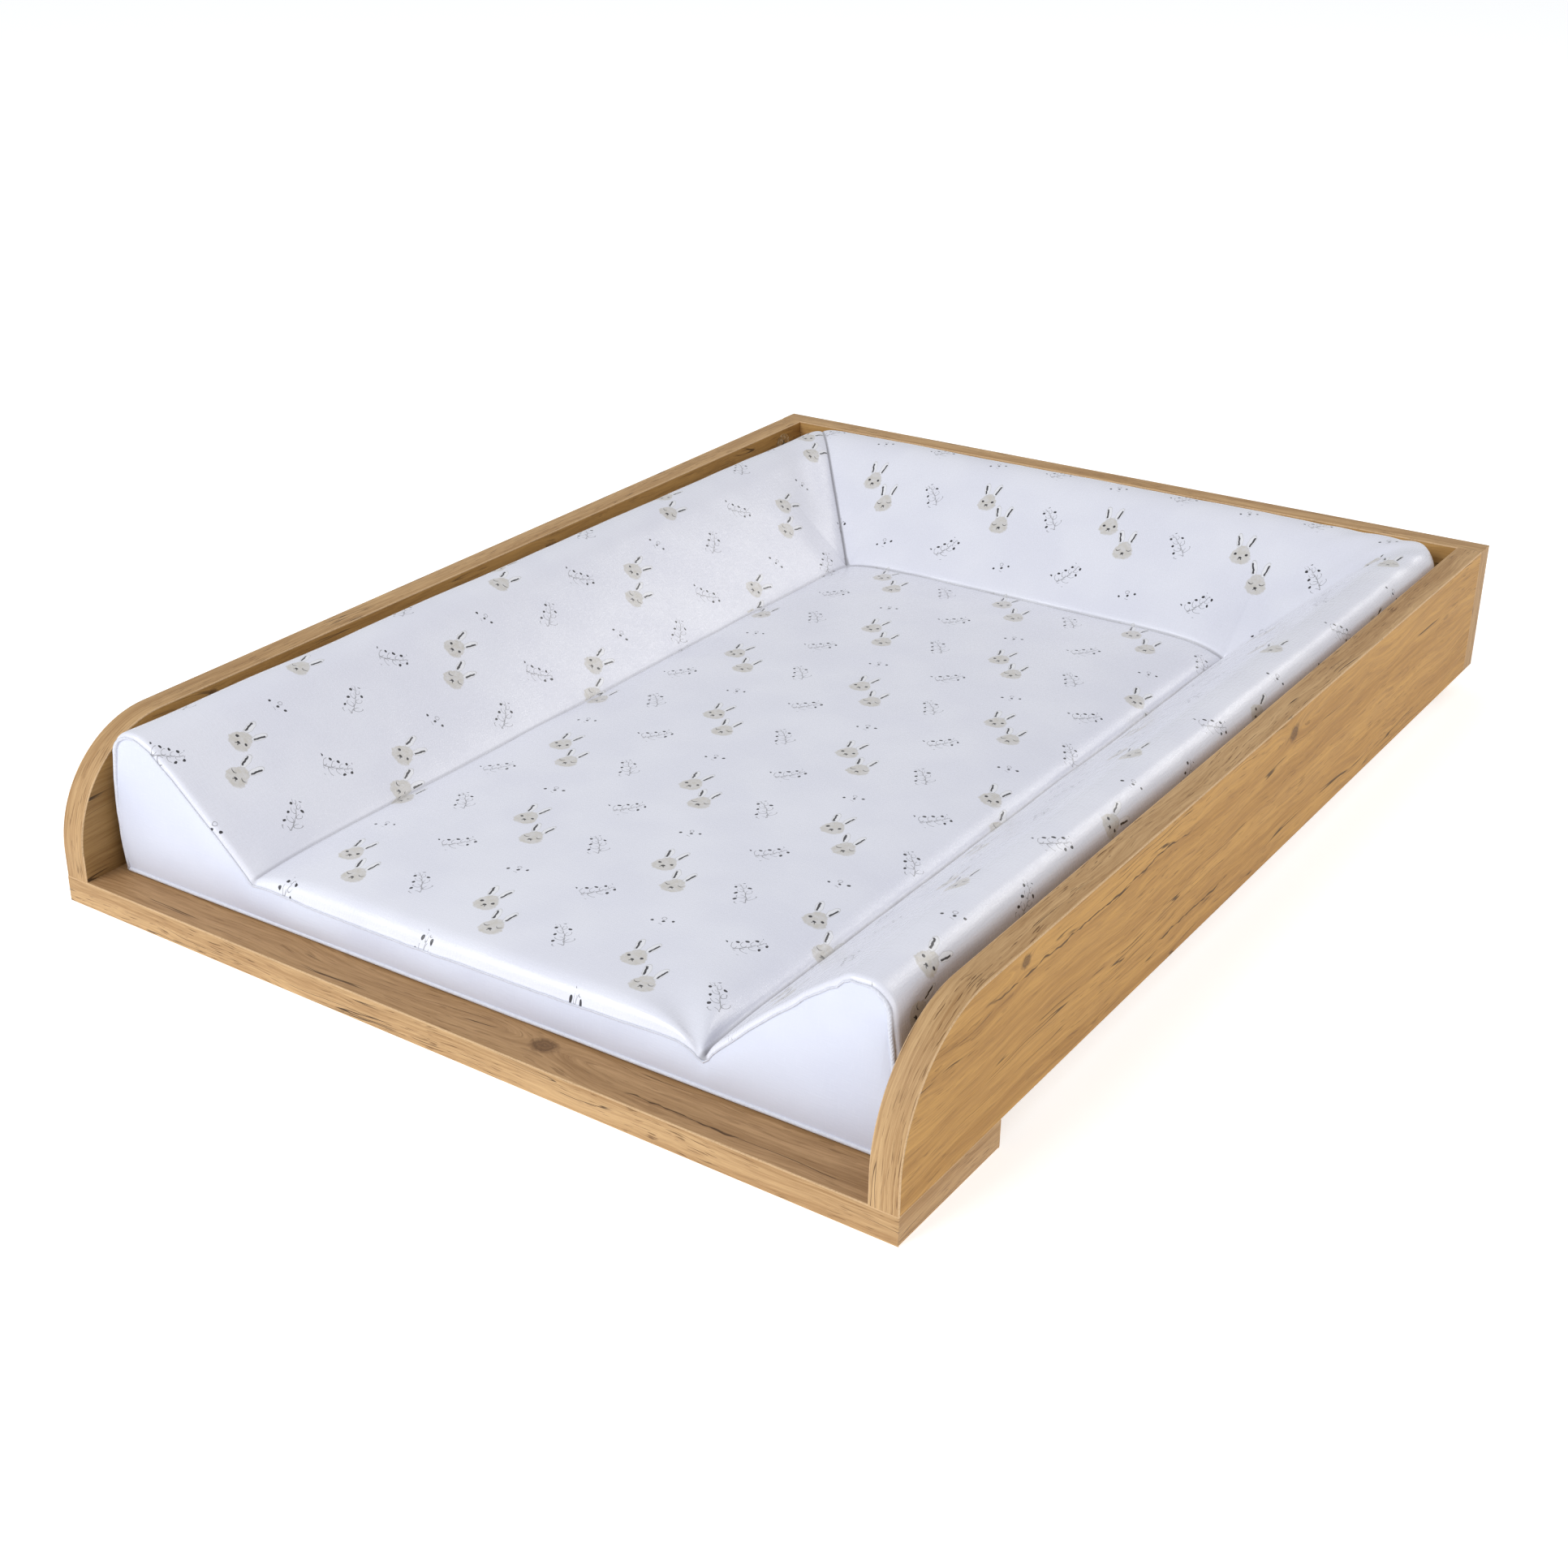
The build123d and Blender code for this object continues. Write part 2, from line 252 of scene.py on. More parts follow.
surround = bpy.data.worlds.new("studio_surround")
bpy.context.scene.world = surround
surround.use_nodes = True
glow = surround.node_tree.nodes["Background"].inputs
glow["Color"].default_value = (0.96, 0.98, 1.0, 1)
glow["Strength"].default_value = 0.53


def soft_light(name, place, target, width, depth, power, colour):
    light = bpy.data.lights.new(name, "AREA")
    light.shape = "RECTANGLE"
    light.size, light.size_y = width, depth
    light.energy = power
    light.color = colour
    lamp = new_object(name, light)
    lamp.location = place
    lamp.rotation_euler = (Vector(target) - Vector(place)).to_track_quat("-Z", "Y").to_euler()


lying_middle = (0, 0, 0.05)
soft_light("front_softbox", (-0.95, -2.7, 2.2), lying_middle, 1.8, 1.2, 69, (0.94, 0.97, 1.0))
soft_light("right_softbox", (2.8, -0.9, 1.0), lying_middle, 1.6, 1.0, 8, (1.0, 0.95, 0.88))
soft_light("high_back_strip", (1.05, 1.95, 1.55), lying_middle, 1.5, 0.9, 12, (1.0, 0.98, 0.95))
print("floor at", round(floor.location.z, 4), "and three lights")

# %% [markdown]
# ## Oak decor
# The boards are chipboard faced with printed oak decor. Real grain is many things at once: broad
# soft streaks, fine fibres, short dark pores and a few long open cracks. Each is one noise that is
# stretched along the grain, so that every board and band can share the group with its own values.

# %% Oak grain group
pore_brown, crack_brown = srgb(98, 66, 36), srgb(58, 38, 22)


def build_oak_grain():
    """Grain comes in millimetres: x runs along the fibres, y and z across them."""
    takes = {
        "Grain": ("vector", (0, 0, 0)),
        "Light Wood": ("colour", srgb(205, 165, 112)),
        "Dark Wood": ("colour", srgb(160, 118, 70)),
        "Pore Strength": ("value", 0.5),
        "Crack Strength": ("value", 0.6),
    }
    gives = {"Colour": "colour", "Roughness": "value", "Height": "value"}
    w, given, out = new_group("oak grain", takes, gives)
    grain = given["Grain"]
    sway = w.noise(grain, 3.0, stretch=(0.007, 0.02, 0.02))
    bend = w.join(0.0, w.times(w.minus(sway, 0.5), 22.0), 0.0)
    bent = w.vector("ADD", grain, bend)
    streaks = w.noise(bent, 5.0, 0.62, stretch=(0.0035, 0.07, 0.07))
    growth = w.noise(bent, 1.0, stretch=(0.0016, 0.055, 0.055))
    arches = w.math("PINGPONG", w.times(growth, 9.0), 0.5)
    fibres = w.noise(bent, 4.0, 0.72, stretch=(0.030, 0.62, 0.62))
    dashes = w.noise(bent, 2.0, stretch=(0.065, 0.85, 0.85))
    patches = w.noise(grain, 2.0, stretch=(0.012, 0.03, 0.03))
    pores = w.times(w.spread(dashes, 0.60, 0.66), w.spread(patches, 0.30, 0.60))
    contour = w.noise(bent, 1.5, 0.5, stretch=(0.0032, 0.090, 0.090))
    line = w.spread(w.math("ABSOLUTE", w.minus(contour, 0.555)), 0.002, 0.008, 1.0, 0.0)
    broken = w.noise(grain, 2.0, 0.6, stretch=(0.014, 0.05, 0.05))
    cracks = w.times(line, w.spread(broken, 0.51, 0.58))
    depth = w.times(streaks, 0.58)
    depth = w.math("MULTIPLY_ADD", arches, 0.10, depth)
    depth = w.math("MULTIPLY_ADD", fibres, 0.62, depth)
    tone = w.spread(depth, 0.42, 0.84)
    wood = w.blend(tone, given["Dark Wood"], given["Light Wood"])
    pore_share = w.times(pores, given["Pore Strength"])
    wood = w.blend(pore_share, wood, pore_brown)
    crack_share = w.times(cracks, given["Crack Strength"])
    wood = w.blend(crack_share, wood, crack_brown)
    w.feed(out["Colour"], wood)
    w.feed(out["Roughness"], w.spread(fibres, 0.2, 0.8, 0.52, 0.66))
    sunk = w.math("ADD", w.times(pore_share, 0.5), crack_share)
    w.feed(out["Height"], w.minus(w.times(fibres, 0.35), sunk))
    return w.tree


oak_grain = build_oak_grain()
print(oak_grain.name, "has", len(oak_grain.nodes), "nodes")

# %% [markdown]
# ## Knots and long cracks
# Grain runs round a knot as water round a stone. The group pushes the grain aside near the knot,
# which bends every streak and pore round it, and hands back a mask for the dark heart. A long
# crack is one thin line that wanders a few millimetres off the grain.

# %% Knot and crack groups
def build_knot():
    takes = {
        "Grain": ("vector", (0, 0, 0)),
        "Place": ("vector", (0, 0, 0)),
        "Size": ("value", 8.0),
    }
    gives = {"Grain": "vector", "Heart": "value", "Rings": "value"}
    w, given, out = new_group("knot in the grain", takes, gives)
    away = w.vector("SUBTRACT", given["Grain"], given["Place"])
    rough_edge = w.noise(away, 3.0, 0.7, stretch=(0.25, 0.35, 0.0))
    along, across, _ = w.split(w.vector("MULTIPLY", away, (1.0, 1.0, 0.0)))
    fade = w.math("DIVIDE", along, w.times(given["Size"], 3.2))
    fade = w.math("EXPONENT", w.times(w.times(fade, fade), -1.0))
    push = w.times(given["Size"], fade)
    square = w.math("ADD", w.times(across, across), w.times(push, push))
    aside = w.times(w.math("SQRT", square), w.math("SIGN", across))
    shift = w.join(0.0, w.minus(aside, across), 0.0)
    w.feed(out["Grain"], w.vector("ADD", given["Grain"], shift))
    oval = w.vector("LENGTH", w.join(w.times(along, 0.75), across, 0.0))
    span = w.math("DIVIDE", oval, given["Size"])
    span = w.math("ADD", span, w.times(w.minus(rough_edge, 0.5), 0.8))
    w.feed(out["Heart"], w.spread(span, 0.45, 1.0, 1.0, 0.0))
    w.feed(out["Rings"], w.math("PINGPONG", w.times(span, 3.0), 0.5))
    return w.tree


def build_long_crack():
    """One open crack along the grain: a thin wandering line, broken here and there."""
    takes = {
        "Grain": ("vector", (0, 0, 0)),
        "Place": ("vector", (0, 0, 0)),
        "Length": ("value", 100.0),
    }
    w, given, out = new_group("long crack", takes, {"Line": "value"})
    along, across, _ = w.split(w.vector("SUBTRACT", given["Grain"], given["Place"]))
    wander = w.noise(w.join(w.times(along, 0.022)), 3.0, 0.55)
    off_line = w.math("MULTIPLY_ADD", w.minus(wander, 0.5), -16.0, across)
    width = w.spread(w.noise(w.join(w.times(along, 0.07)), 2.0), 0.36, 0.6, 0.1, 1.0)
    line = w.spread(w.math("ABSOLUTE", off_line), w.times(width, 0.3), width, 1.0, 0.0)
    half_length = w.times(given["Length"], 0.5)
    fade_from = w.times(half_length, 0.8)
    ends = w.spread(w.math("ABSOLUTE", along), fade_from, half_length, 1.0, 0.0)
    w.feed(out["Line"], w.times(line, ends))
    return w.tree


knot_in_grain = build_knot()
long_crack = build_long_crack()
print(knot_in_grain.name, "and", long_crack.name)

# %% [markdown]
# ## Board finishes
# The grain follows each board's length: across the object on the front board and the back panel,
# front to back on the sides. The decor paper covers the two faces only, so the undersides of the
# upright boards show raw chipboard. The front board's decor is a darker copy of the oak, as painted
# shade on its ledge in front of the pad. Low on the side panels' inner faces the decor is tinted
# darker as painted shade, where the pad's wall keeps the light off it. Object coordinates are
# enough here, because the boards are flat.

# %% Decor board materials
knot_brown, ring_brown, split_brown = srgb(92, 62, 38), srgb(62, 42, 28), srgb(66, 44, 26)
inner_face = 1000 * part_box("side_panel_right")[0].x  # millimetres from the middle
board_base = 1000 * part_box("side_panel_right")[0].z
tint_fades = (66.0, 98.0)  # heights in millimetres between which the inner faces' tint fades


def chipboard(w, position):
    """Pressed chips in glue: a cell pattern with a fine noise over it."""
    flakes = w.put("ShaderNodeTexVoronoi", {"Vector": position, "Scale": 0.45}).outputs["Color"]
    chip_tone = w.split(flakes)[0]
    grit = w.noise(position, 3.0, stretch=(1.6, 1.6, 1.6))
    tone = w.math("MULTIPLY_ADD", grit, 0.5, w.times(chip_tone, 0.6))
    return w.blend(tone, srgb(132, 100, 62), srgb(206, 176, 130))


def decor_board(name, grain_axes, knots, long_cracks, light_wood, dark_wood, inner_shade):
    """Oak decor on a board. grain_axes orders x, y, z as along, across and through the board.
    inner_shade tints the decor on the faces towards the pad."""
    material, w, shader = new_finish(name, Specular_IOR_Level=0.22)
    position = w.millimetres()
    parts = w.split(position)
    grain = w.join(*[parts["XYZ".index(axis)] for axis in grain_axes])
    heart, rings = 0.0, 0.0
    for spot, size in knots:
        knot = w.use(knot_in_grain, Grain=grain, Place=spot, Size=size)
        grain = knot["Grain"]
        heart = w.larger(heart, knot["Heart"])
        rings = w.larger(rings, w.times(knot["Rings"], knot["Heart"]))
    oak = w.use(oak_grain, Grain=grain, Light_Wood=light_wood, Dark_Wood=dark_wood,
                Pore_Strength=0.42, Crack_Strength=0.80)
    wood = w.blend(w.times(heart, 0.62), oak["Colour"], knot_brown)
    wood = w.blend(w.times(rings, 0.7), wood, ring_brown)
    for spot, length in long_cracks:
        open_line = w.use(long_crack, Grain=grain, Place=spot, Length=length)["Line"]
        wood = w.blend(w.times(open_line, 0.85), wood, split_brown)
    from_middle = w.math("ABSOLUTE", parts[0])
    inside = w.spread(from_middle, inner_face + 0.5, inner_face + 2.0, 1.0, 0.0)
    inside = w.times(inside, w.spread(parts[2], *tint_fades, 1.0, 0.12))
    wood = w.blend(inside, wood, w.blend(1.0, wood, inner_shade, kind="MULTIPLY"))
    facing = w.split(w.put("ShaderNodeTexCoord").outputs["Normal"])[2]
    raised = w.spread(parts[2], board_base - 1.0, board_base - 0.1)
    raw = w.times(w.spread(facing, -0.7, -0.6, 1.0, 0.0), raised)
    w.paint(shader, w.blend(raw, wood, chipboard(w, position)), oak["Roughness"])
    w.emboss(shader, oak["Height"], strength=0.35, distance=0.0003)
    return material


plain_light = (1.0, 1.0, 1.0, 1.0)
shaded_by_pad = (0.64, 0.68, 0.86, 1.0)  # the side panels' inner faces lie in the pad's shade
# The front board's darker colours are painted shade on its ledge in front of the pad.
front_board_wood_shaded = decor_board(
    "oak decor on the front board", "XYZ", [((60, -356, 0), 7.5)], [((150, -365, 0), 70)],
    srgb(186, 148, 106), srgb(146, 110, 72), plain_light)
back_panel_wood = decor_board(
    "oak decor on the back panel", "XZY", [((120, 62, 0), 7.0)], [((-90, 48, 0), 120)],
    srgb(202, 160, 100), srgb(170, 126, 70), plain_light)
side_panel_wood = decor_board(
    "oak decor on the side panels", "YZX", [((-267, 93, 0), 4.5), ((47, 88, 0), 6.0)],
    [((-194, 85, 0), 230), ((-74, 33, 0), 90)],
    srgb(200, 154, 88), srgb(160, 116, 60), shaded_by_pad)


def dress(finishes):
    """Gives CAD nodes their materials."""
    for node, material in finishes.items():
        nodes[node].data.materials.clear()
        nodes[node].data.materials.append(material)
    print("finished:", ", ".join(finishes))


dress({
    "front_board": front_board_wood_shaded,
    "back_panel": back_panel_wood,
    "side_panel_left": side_panel_wood,
    "side_panel_right": side_panel_wood,
})

# %% [markdown]
# ## Edge bands
# A band is one strip of printed plastic, glued round an edge and scraped at its corners. The
# frame's bands are square blocks, so each is swept again here as a strip with rounded outer
# corners. Its texture map runs in metres along the strip and across it, which lets the printed
# grain follow the strip round the side panels' curved corner.

# %% Piece helpers
def add_map(mesh, title, values):
    """A texture map with one (u, v) per point."""
    layer = mesh.uv_layers.new(name=title)
    corner_points = np.zeros(len(mesh.loops), dtype=np.int32)
    mesh.loops.foreach_get("vertex_index", corner_points)
    layer.data.foreach_set("uv", np.asarray(values, np.float32)[corner_points].ravel())


def add_piece(name, points, faces, material, body, maps=None):
    """A smooth mesh object that rides on a body. maps holds texture maps by name."""
    mesh = bpy.data.meshes.new(name)
    mesh.from_pydata([tuple(p) for p in points], [], faces)
    mesh.materials.append(material)
    mesh.polygons.foreach_set("use_smooth", [True] * len(mesh.polygons))
    for title, values in (maps or {}).items():
        add_map(mesh, title, values)
    mesh.update()
    piece = new_object(name, mesh)
    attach(piece, body)
    return piece


def grid_faces(rows, columns, closed=False):
    """Quads between neighbours of a grid whose points are numbered row by row."""
    wrap = columns if closed else columns - 1
    faces = []
    for row in range(rows - 1):
        for column in range(wrap):
            after = (column + 1) % columns
            low, high = row * columns, (row + 1) * columns
            faces.append((low + column, low + after, high + after, high + column))
    return faces


def tube_faces(rings, around):
    """Sides and both end caps of a tube whose rings of points are numbered one after another."""
    faces = grid_faces(rings, around, closed=True)
    last = (rings - 1) * around
    faces.append(tuple(range(around))[::-1])
    faces.append(tuple(range(last, last + around)))
    return faces


print("piece helpers ready")

# %% [markdown]
# The band's finish is the oak group again, with stronger pores and cracks than the boards have,
# and paler along both rounded corners, partly as scraped wear and partly as a painted highlight.
# Sweeping one small section along a route gives every band, straight or bent, the same clean
# corners.

# %% Edge band material and strips
band_corner = 0.0006
corner_steps = 4
band_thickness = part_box("front_board")[0].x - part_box("front_board_left_band")[0].x
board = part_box("front_board")[1].z
# Paler colour for the bands' corners: partly scraped wear, partly a painted highlight.
pale_wear_and_highlight = srgb(222, 188, 146)


def band_finish():
    material, w, shader = new_finish("printed edge band", Specular_IOR_Level=0.28)
    strip = w.put("ShaderNodeUVMap", uv_map="strip").outputs[0]
    grain = w.vector("MULTIPLY", strip, (1100, 1600, 0))
    oak = w.use(oak_grain, Grain=grain, Light_Wood=srgb(204, 168, 122),
                Dark_Wood=srgb(158, 120, 78), Pore_Strength=0.8, Crack_Strength=0.95)
    # Painted highlight and scraped wear: the band turns paler along both rounded corners.
    across = w.math("ABSOLUTE", w.split(strip)[1])
    scraped_and_lit_corners = w.spread(across, board / 2 - 0.9 * mm, board / 2 - 0.2 * mm)
    rubbed_and_lit = w.times(scraped_and_lit_corners, w.spread(w.noise(grain, 2.0), 0.3, 0.6, 0.4, 0.75))
    w.paint(shader, w.blend(rubbed_and_lit, oak["Colour"], pale_wear_and_highlight), oak["Roughness"])
    w.emboss(shader, oak["Height"], strength=0.5, distance=0.0003)
    return material


def band_section():
    """Half the outline of a band's section as (across, height), outer corner rounded."""
    half_width = board / 2
    section = [(half_width, 0.0)]
    for step in range(corner_steps + 1):
        angle = math.radians(90 * step / corner_steps)
        section.append((half_width - band_corner + band_corner * math.cos(angle),
                        band_thickness - band_corner + band_corner * math.sin(angle)))
    section.append((0.0, band_thickness))
    return section + [(-across, height) for across, height in reversed(section[:-1])]


def add_band(name, route, outward, across, seed):
    """Sweeps the section along route, the middle of the band's outer face. outward gives that
    face's direction at each point, across the direction of the board's thickness, and seed the
    place in the grain where the strip starts."""
    section = band_section()
    points, strip_map = [], []
    along = seed
    for index, place in enumerate(route):
        if index:
            along += (place - route[index - 1]).length
        for side, height in section:
            points.append(place + across * side + outward[index] * (height - band_thickness))
            strip_map.append((along, side))
    piece = add_piece(name.replace("_band", "_edge_band"), points,
                      tube_faces(len(route), len(section)), edge_band_print,
                      "tray", maps={"strip": strip_map})
    piece.data.set_sharp_from_angle(angle=math.radians(50))
    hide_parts(name)


edge_band_print = band_finish()
print("band thickness", round(band_thickness / mm, 2), "mm")


# %% Straight bands
along_x, along_y, along_z = Vector((1, 0, 0)), Vector((0, 1, 0)), Vector((0, 0, 1))


def straight_route(node, along, outward):
    """The middle line of a band's outer face, end to end, read from the CAD node's box."""
    low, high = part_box(node)
    middle = (low + high) / 2
    half_size = (high - low) / 2
    outer = middle + outward * abs(half_size.dot(outward))
    reach = along * half_size.dot(along)
    return [outer + reach * share for share in (-1.0, -0.5, 0.0, 0.5, 1.0)]


straight_bands = [
    ("front_board_front_band", along_x, -along_y, along_z),
    ("front_board_rear_band", along_x, along_y, along_z),
    ("front_board_left_band", along_y, -along_x, along_z),
    ("front_board_right_band", along_y, along_x, along_z),
    ("back_band_top", along_x, along_z, along_y),
    ("back_band_left", along_z, -along_x, along_y),
    ("back_band_right", along_z, along_x, along_y),
]
for count, (node, along, outward, across) in enumerate(straight_bands):
    route = straight_route(node, along, outward)
    add_band(node, route, [outward] * len(route), across, seed=1.7 * count)
print(len(straight_bands), "straight bands")

# %% [markdown]
# The side panels' band runs up the front edge, round a quarter circle and back along the top. It
# is swept along that route in small turns, so its face stays smooth and its grain bends with it.

# %% Bent side bands
corner_radius = 0.068
corner_turns = 24


def bent_route(node):
    low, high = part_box(node)
    middle = (low.x + high.x) / 2
    centre_y, centre_z = low.y + corner_radius, high.z - corner_radius
    route = [Vector((middle, low.y, low.z)), Vector((middle, low.y, (low.z + centre_z) / 2))]
    outward = [-along_y, -along_y]
    for step in range(corner_turns + 1):
        angle = math.radians(90 * step / corner_turns)
        direction = Vector((0, -math.cos(angle), math.sin(angle)))
        route.append(Vector((middle, centre_y, centre_z)) + direction * corner_radius)
        outward.append(direction)
    for share in (0.25, 0.5, 0.75, 1.0):
        route.append(Vector((middle, centre_y + share * (high.y - centre_y), high.z)))
        outward.append(along_z)
    return route, outward


for count, side in enumerate(("left", "right")):
    route, outward = bent_route(f"side_band_{side}")
    add_band(f"side_band_{side}", route, outward, along_x, seed=20.0 + 3.1 * count)
print("two bent bands with", corner_turns, "turns each")

# %% [markdown]
# ## Fittings
# Cams are die-cast zinc, bolts and screws are plated steel, and dowels are turned beech. They are
# CAD nodes whose shape is already right, so only their finish is made here. Cast metal is a little
# cloudy and worn bright, steel is brushed round its axis, and beech has short fine flecks.

# %% Metal and beech finishes
def metal_finish(name, tone, worn_tone, roughness_range):
    """Plated metal: a cloudy coat that is worn bright in patches, with fine scratches."""
    material, w, shader = new_finish(name, Metallic=1.0)
    position = w.millimetres()
    cloud = w.noise(position, 4.0, 0.6, stretch=(0.5, 0.5, 0.5))
    scratch = w.noise(position, 2.0, stretch=(6.0, 0.8, 0.8))
    worn = w.spread(w.math("MULTIPLY_ADD", scratch, 0.4, cloud), 0.62, 0.85)
    roughness = w.spread(cloud, 0.3, 0.7, *roughness_range)
    w.paint(shader, w.blend(worn, tone, worn_tone), roughness)
    w.emboss(shader, scratch, strength=0.3, distance=0.00005)
    return material


def beech_finish():
    material, w, shader = new_finish("turned beech", Roughness=0.6)
    fleck = w.noise(w.millimetres(), 3.0, 0.6, stretch=(1.8, 0.3, 0.3))
    tone = w.spread(fleck, 0.35, 0.7)
    w.paint(shader, w.blend(tone, srgb(214, 180, 136), srgb(178, 138, 96)))
    w.emboss(shader, fleck, strength=0.4, distance=0.0001)
    return material


zinc = metal_finish("die-cast zinc", srgb(204, 192, 164), srgb(244, 240, 226), (0.34, 0.52))
steel = metal_finish("plated steel", srgb(170, 172, 176), srgb(222, 224, 228), (0.18, 0.36))
fitting_finishes = {"cam_bolts": steel, "connecting_screws": steel, "wooden_dowels": beech_finish()}
for side in ("left", "right"):
    for level in ("lower", "upper"):
        fitting_finishes[f"cam_{side}_{level}"] = zinc
dress(fitting_finishes)

# %% [markdown]
# ## The pad's sizes
# The pad is a foam slab with three foam wedges under a coated cotton cover. All its sizes come
# from the frame's solids, and only the soft radii and the small unevenness of a sewn thing are
# added.

# %% Pad sizes
pad_low, pad_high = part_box("pad_base_sheet")
pad_half = pad_high.x
pad_front, pad_rear, pad_base = pad_low.y, pad_high.y, pad_low.z
cover = pad_high.z - pad_low.z
slab_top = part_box("foam_base_slab")[1].z + cover
wedge_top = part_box("pad_front_panel")[1].z
valley_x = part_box("foam_wedge_right")[0].x
valley_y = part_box("foam_wedge_back")[0].y
wedge_foot = pad_half - valley_x
rear_stretch = (pad_rear - valley_y) / wedge_foot
crest_flat = 0.026
crest_round = 0.015
slope_run = wedge_foot - crest_flat
print("wedge foot", round(wedge_foot / mm, 1), "mm, slope", round(slope_run / mm, 1), "mm")

# %% [markdown]
# ## Shape of the cover
# One grid of points covers the lying surface, the side wedges with their outer walls, and the back
# wedge. Its columns run front to back and its rows across. The wedges' columns and the back
# wedge's rows use the same steps, so both mitre seams fall exactly on grid corners and stay crisp.

# %% Grid steps
slab_steps = 60
slope_steps = 20
round_steps = 7
wall_steps = 10
roll_steps = 5
long_steps = 120
front_turn = 80  # degrees that the front edge turns before the front panel's seam
seam_turn = 78  # the same at the rear
valley_steps = [0.0010, 0.0022]  # close rows beside a valley keep its crease narrow
last_long_shares = (0.9965, 0.9985, 1.0)

slope_distances = np.linspace(0.004, wedge_foot - crest_round, slope_steps + 1)
wedge_distances = valley_steps + list(slope_distances)
round_angles = [math.radians(90 * (step + 1) / round_steps) for step in range(round_steps)]
rear_angles = [math.radians(seam_turn * (step + 1) / round_steps) for step in range(round_steps)]
roll_angles = [math.radians(front_turn * (1 - step / roll_steps)) for step in range(roll_steps)]


def half_columns():
    """Columns from the valley outwards: (distance into the wedge, edge angle, share of wall)."""
    columns = [(distance, 0.0, 0.0) for distance in wedge_distances]
    for angle in round_angles:
        columns.append((wedge_foot - crest_round + crest_round * math.sin(angle), angle, 0.0))
    for step in range(wall_steps):
        columns.append((wedge_foot, math.radians(90), (step + 1) / wall_steps))
    return columns


def rows_of_cover():
    """Rows from the front seam to the rear one: (kind, number)."""
    rows = [("roll", angle) for angle in roll_angles]
    rows += [("long", step / long_steps) for step in range(long_steps)]
    rows += [("long", share) for share in last_long_shares]
    rows += [("wedge", distance) for distance in wedge_distances]
    rows += [("rear", angle) for angle in rear_angles]
    return rows


side_columns = half_columns()
valley_shares = [1 - step / valley_x for step in valley_steps]
slab_shares = list(np.linspace(-0.97, 0.97, slab_steps + 1))
slab_shares = [-1.0] + [-s for s in valley_shares] + slab_shares + valley_shares[::-1] + [1.0]
columns = [(-1, *c) for c in reversed(side_columns)]
columns += [(0, share, 0.0, 0.0) for share in slab_shares]
columns += [(1, *c) for c in side_columns]
rows = rows_of_cover()
row_count, column_count = len(rows), len(columns)
valley_row = roll_steps + long_steps + len(last_long_shares) - 1  # lies in the back valley
left_valley = len(side_columns)
right_valley = left_valley + len(slab_shares) - 1
edge_steps = len(wedge_distances) + round_steps  # steps from a valley to the outer wall
print("cover grid:", row_count, "rows of", column_count)

# %% [markdown]
# Height has four parts: the crowned slab, the sloping wedge that meets the crest in a soft bend,
# the rounded outer edge, and small dents, creases and puckers. The front seam runs a little out of
# square and the pad leans to the right towards its rear, as a loose pad lies in a tray.

# %% Height of the cover
crown = 0.0045
slope_bulge = 0.0018
crest_extra = 0.0015  # the stuffed crest stands a little over the sewn edge
bend_softness = 0.007
front_skew = 0.0228  # the front seam's slope in plan
rear_lean = 0.0105  # how far the sides run off to the right, per metre of length
left_lean = 0.0050  # how much more of that the left side has
corner_sweep = 0.035  # plan radius of the rear corners
side_roll = 0.0035  # radius of the wedges' front edge
slab_roll = 0.0115  # radius of the slab's front edge
rear_dip, rear_dip_width = 0.0020, 0.030
front_dip, front_dip_width = 0.0025, 0.055
right_fall = 2.1  # how much deeper the crown falls to the right valley than to the left one
wall_belly, wall_splay = 0.0035, 0.0015  # how far the outer walls bulge and spread
wall_unskewed = 0.25  # the share of the front's skew that is lost down the outer walls
wall_end = 0.001  # height of the outer walls' lower edges over the pad's base


def lower_of(first, second, softness):
    """The lower of two heights, with a soft bend where they cross."""
    gap = max(softness - abs(first - second), 0.0) / softness
    return min(first, second) - gap * gap * softness / 4


def slope_height(distance, foot):
    """Height of a wedge at a distance from its valley, whose own height is foot."""
    share = min(max(distance / slope_run, 0.0), 1.0)
    bulge = slope_bulge * math.sin(math.pi * share)
    rising = foot + (wedge_top + crest_extra - foot) * distance / slope_run
    return lower_of(rising + bulge, wedge_top + crest_extra, bend_softness)


def slab_height(x, y):
    """The lying surface: crowned, and falling to its valleys, more sharply on the right."""
    across = max(-1.0, min(1.0, x / valley_x))
    side_fall = across ** 10 if across < 0 else across ** 9 * right_fall
    to_rear = max(0.0, 1 - (valley_y - y) / rear_dip_width)
    to_front = max(0.0, 1 - (y - pad_front) / front_dip_width)
    crowned = slab_top + crown * (1 - side_fall)
    return crowned - rear_dip * to_rear ** 2 - front_dip * to_front ** 2


